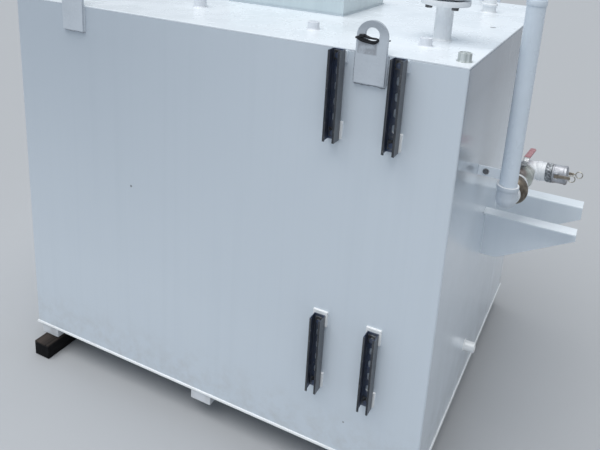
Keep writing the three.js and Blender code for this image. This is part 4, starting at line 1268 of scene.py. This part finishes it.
# A cam arm: the eye round its pin, a bar that swells towards the end, and a wire ring, the rear one on a link
def buildArms():
    look = capLook
    length, wire, big = look["armLength"], look["wire"], look["ringRadius"]
    small, thin, linkOut = look["link"]
    for node, body, side, shift in (("cam_arm_front", "cam_front", -1, look["ringShift"][0]),
                                    ("cam_arm_rear", "cam_rear", 1, look["ringShift"][1])):
        place = capPlace @ Matrix.Translation((look["pinAlong"], side * look["pinOut"], 0))
        bm = bmesh.new()
        addTurned(bm, [(0.0034, -0.0063), (0.0060, -0.0063), (0.0065, -0.0056), (0.0065, 0.0056),
                       (0.0060, 0.0063), (0.0034, 0.0063)], place, 36, closed=True)
        addBlock(bm, (0.0040, -0.0025, -0.0058), (length - 0.012, 0.0025, 0.0058), 0.0012, place, 3)
        addBlock(bm, (length - 0.018, -0.0022, -0.0048), (length + 0.0005, 0.0022, 0.0048), 0.0014, place, 3)
        shapeObject(node + "_bar", bm, "armAlloy", body, node)
        bm = bmesh.new()
        ringPlace = place @ Matrix.Translation((length + big - 0.0012 + shift, 0, 0)) @ turnOver
        addTurned(bm, wireRim(big, wire), ringPlace, 48, closed=True)
        if shift > 0:
            linkPlace = place @ Matrix.Translation((length + linkOut, 0, 0))
            addTurned(bm, wireRim(small, thin), linkPlace, 36, closed=True)
        shapeObject(node + "_ring", bm, "ring", body)


clipLook = {"rim": 0.0008, "boltX": 0.7595, "washer": 0.0115, "flats": 0.0155, "headHeight": 0.0065,
            "barThick": 0.006}


def buildClip():
    look = clipLook
    low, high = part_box("pipe_clip")
    bm = roundedCopy("pipe_clip", look["rim"])
    face = low.y + look["headHeight"]
    back = face + look["barThick"]
    for side in bm.faces:
        side.material_index = 0 if face - 0.0002 < side.calc_center_median().y < back + 0.0002 else 1
    shapeObject("pipe_clip_bar", bm, "bracket", replaced="pipe_clip", others=["bolt"])
    x, z = look["boltX"], (low.z + high.z) / 2
    bm = bmesh.new()
    addRod(bm, (x, face - 0.0016, z), (x, face + 0.0004, z), look["washer"], 0.0004)
    shapeObject("pipe_clip_washer", bm, "brightBolt")
    bm = bmesh.new()
    addHexagon(bm, (x, face - 0.0066, z), (x, face - 0.0014, z), look["flats"], 0.0010)
    shapeObject("pipe_clip_bolt", bm, "bolt")


buildConnection()
buildArms()
buildClip()
print("fill connection and clip are built")


# Bracket arms
bracketLook = {"rim": 0.0008, "bead": {"step": 0.004, "radius": 0.003, "ripple": 0.1, "pitch": 0.009},
               "beadIn": 0.0006}


def buildBrackets():
    look = bracketLook
    # The rear arm takes the greyer copy of the bracket paint, a painted shade
    for node, side, finish in (("bracket_arm_front", -1, "bracket"), ("bracket_arm_rear", 1, "shadedRearBracket")):
        roundedPiece(node + "_plate", node, look["rim"], finish)
        low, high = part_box(node)
        web, flange = (high.y, low.y) if side < 0 else (low.y, high.y)
        x = low.x + look["beadIn"]
        bm = bmesh.new()
        for y in (web - side * 0.0005, web + side * 0.0065):
            addBead(bm, [(x, y, low.z + 0.001), (x, y, high.z - 0.010)], **look["bead"])
        addBead(bm, [(x, web + side * 0.010, high.z - 0.0005), (x, flange, high.z - 0.0005)], **look["bead"])
        shapeObject(node + "_weld", bm, "bracket")


buildBrackets()
print("bracket arms are built")
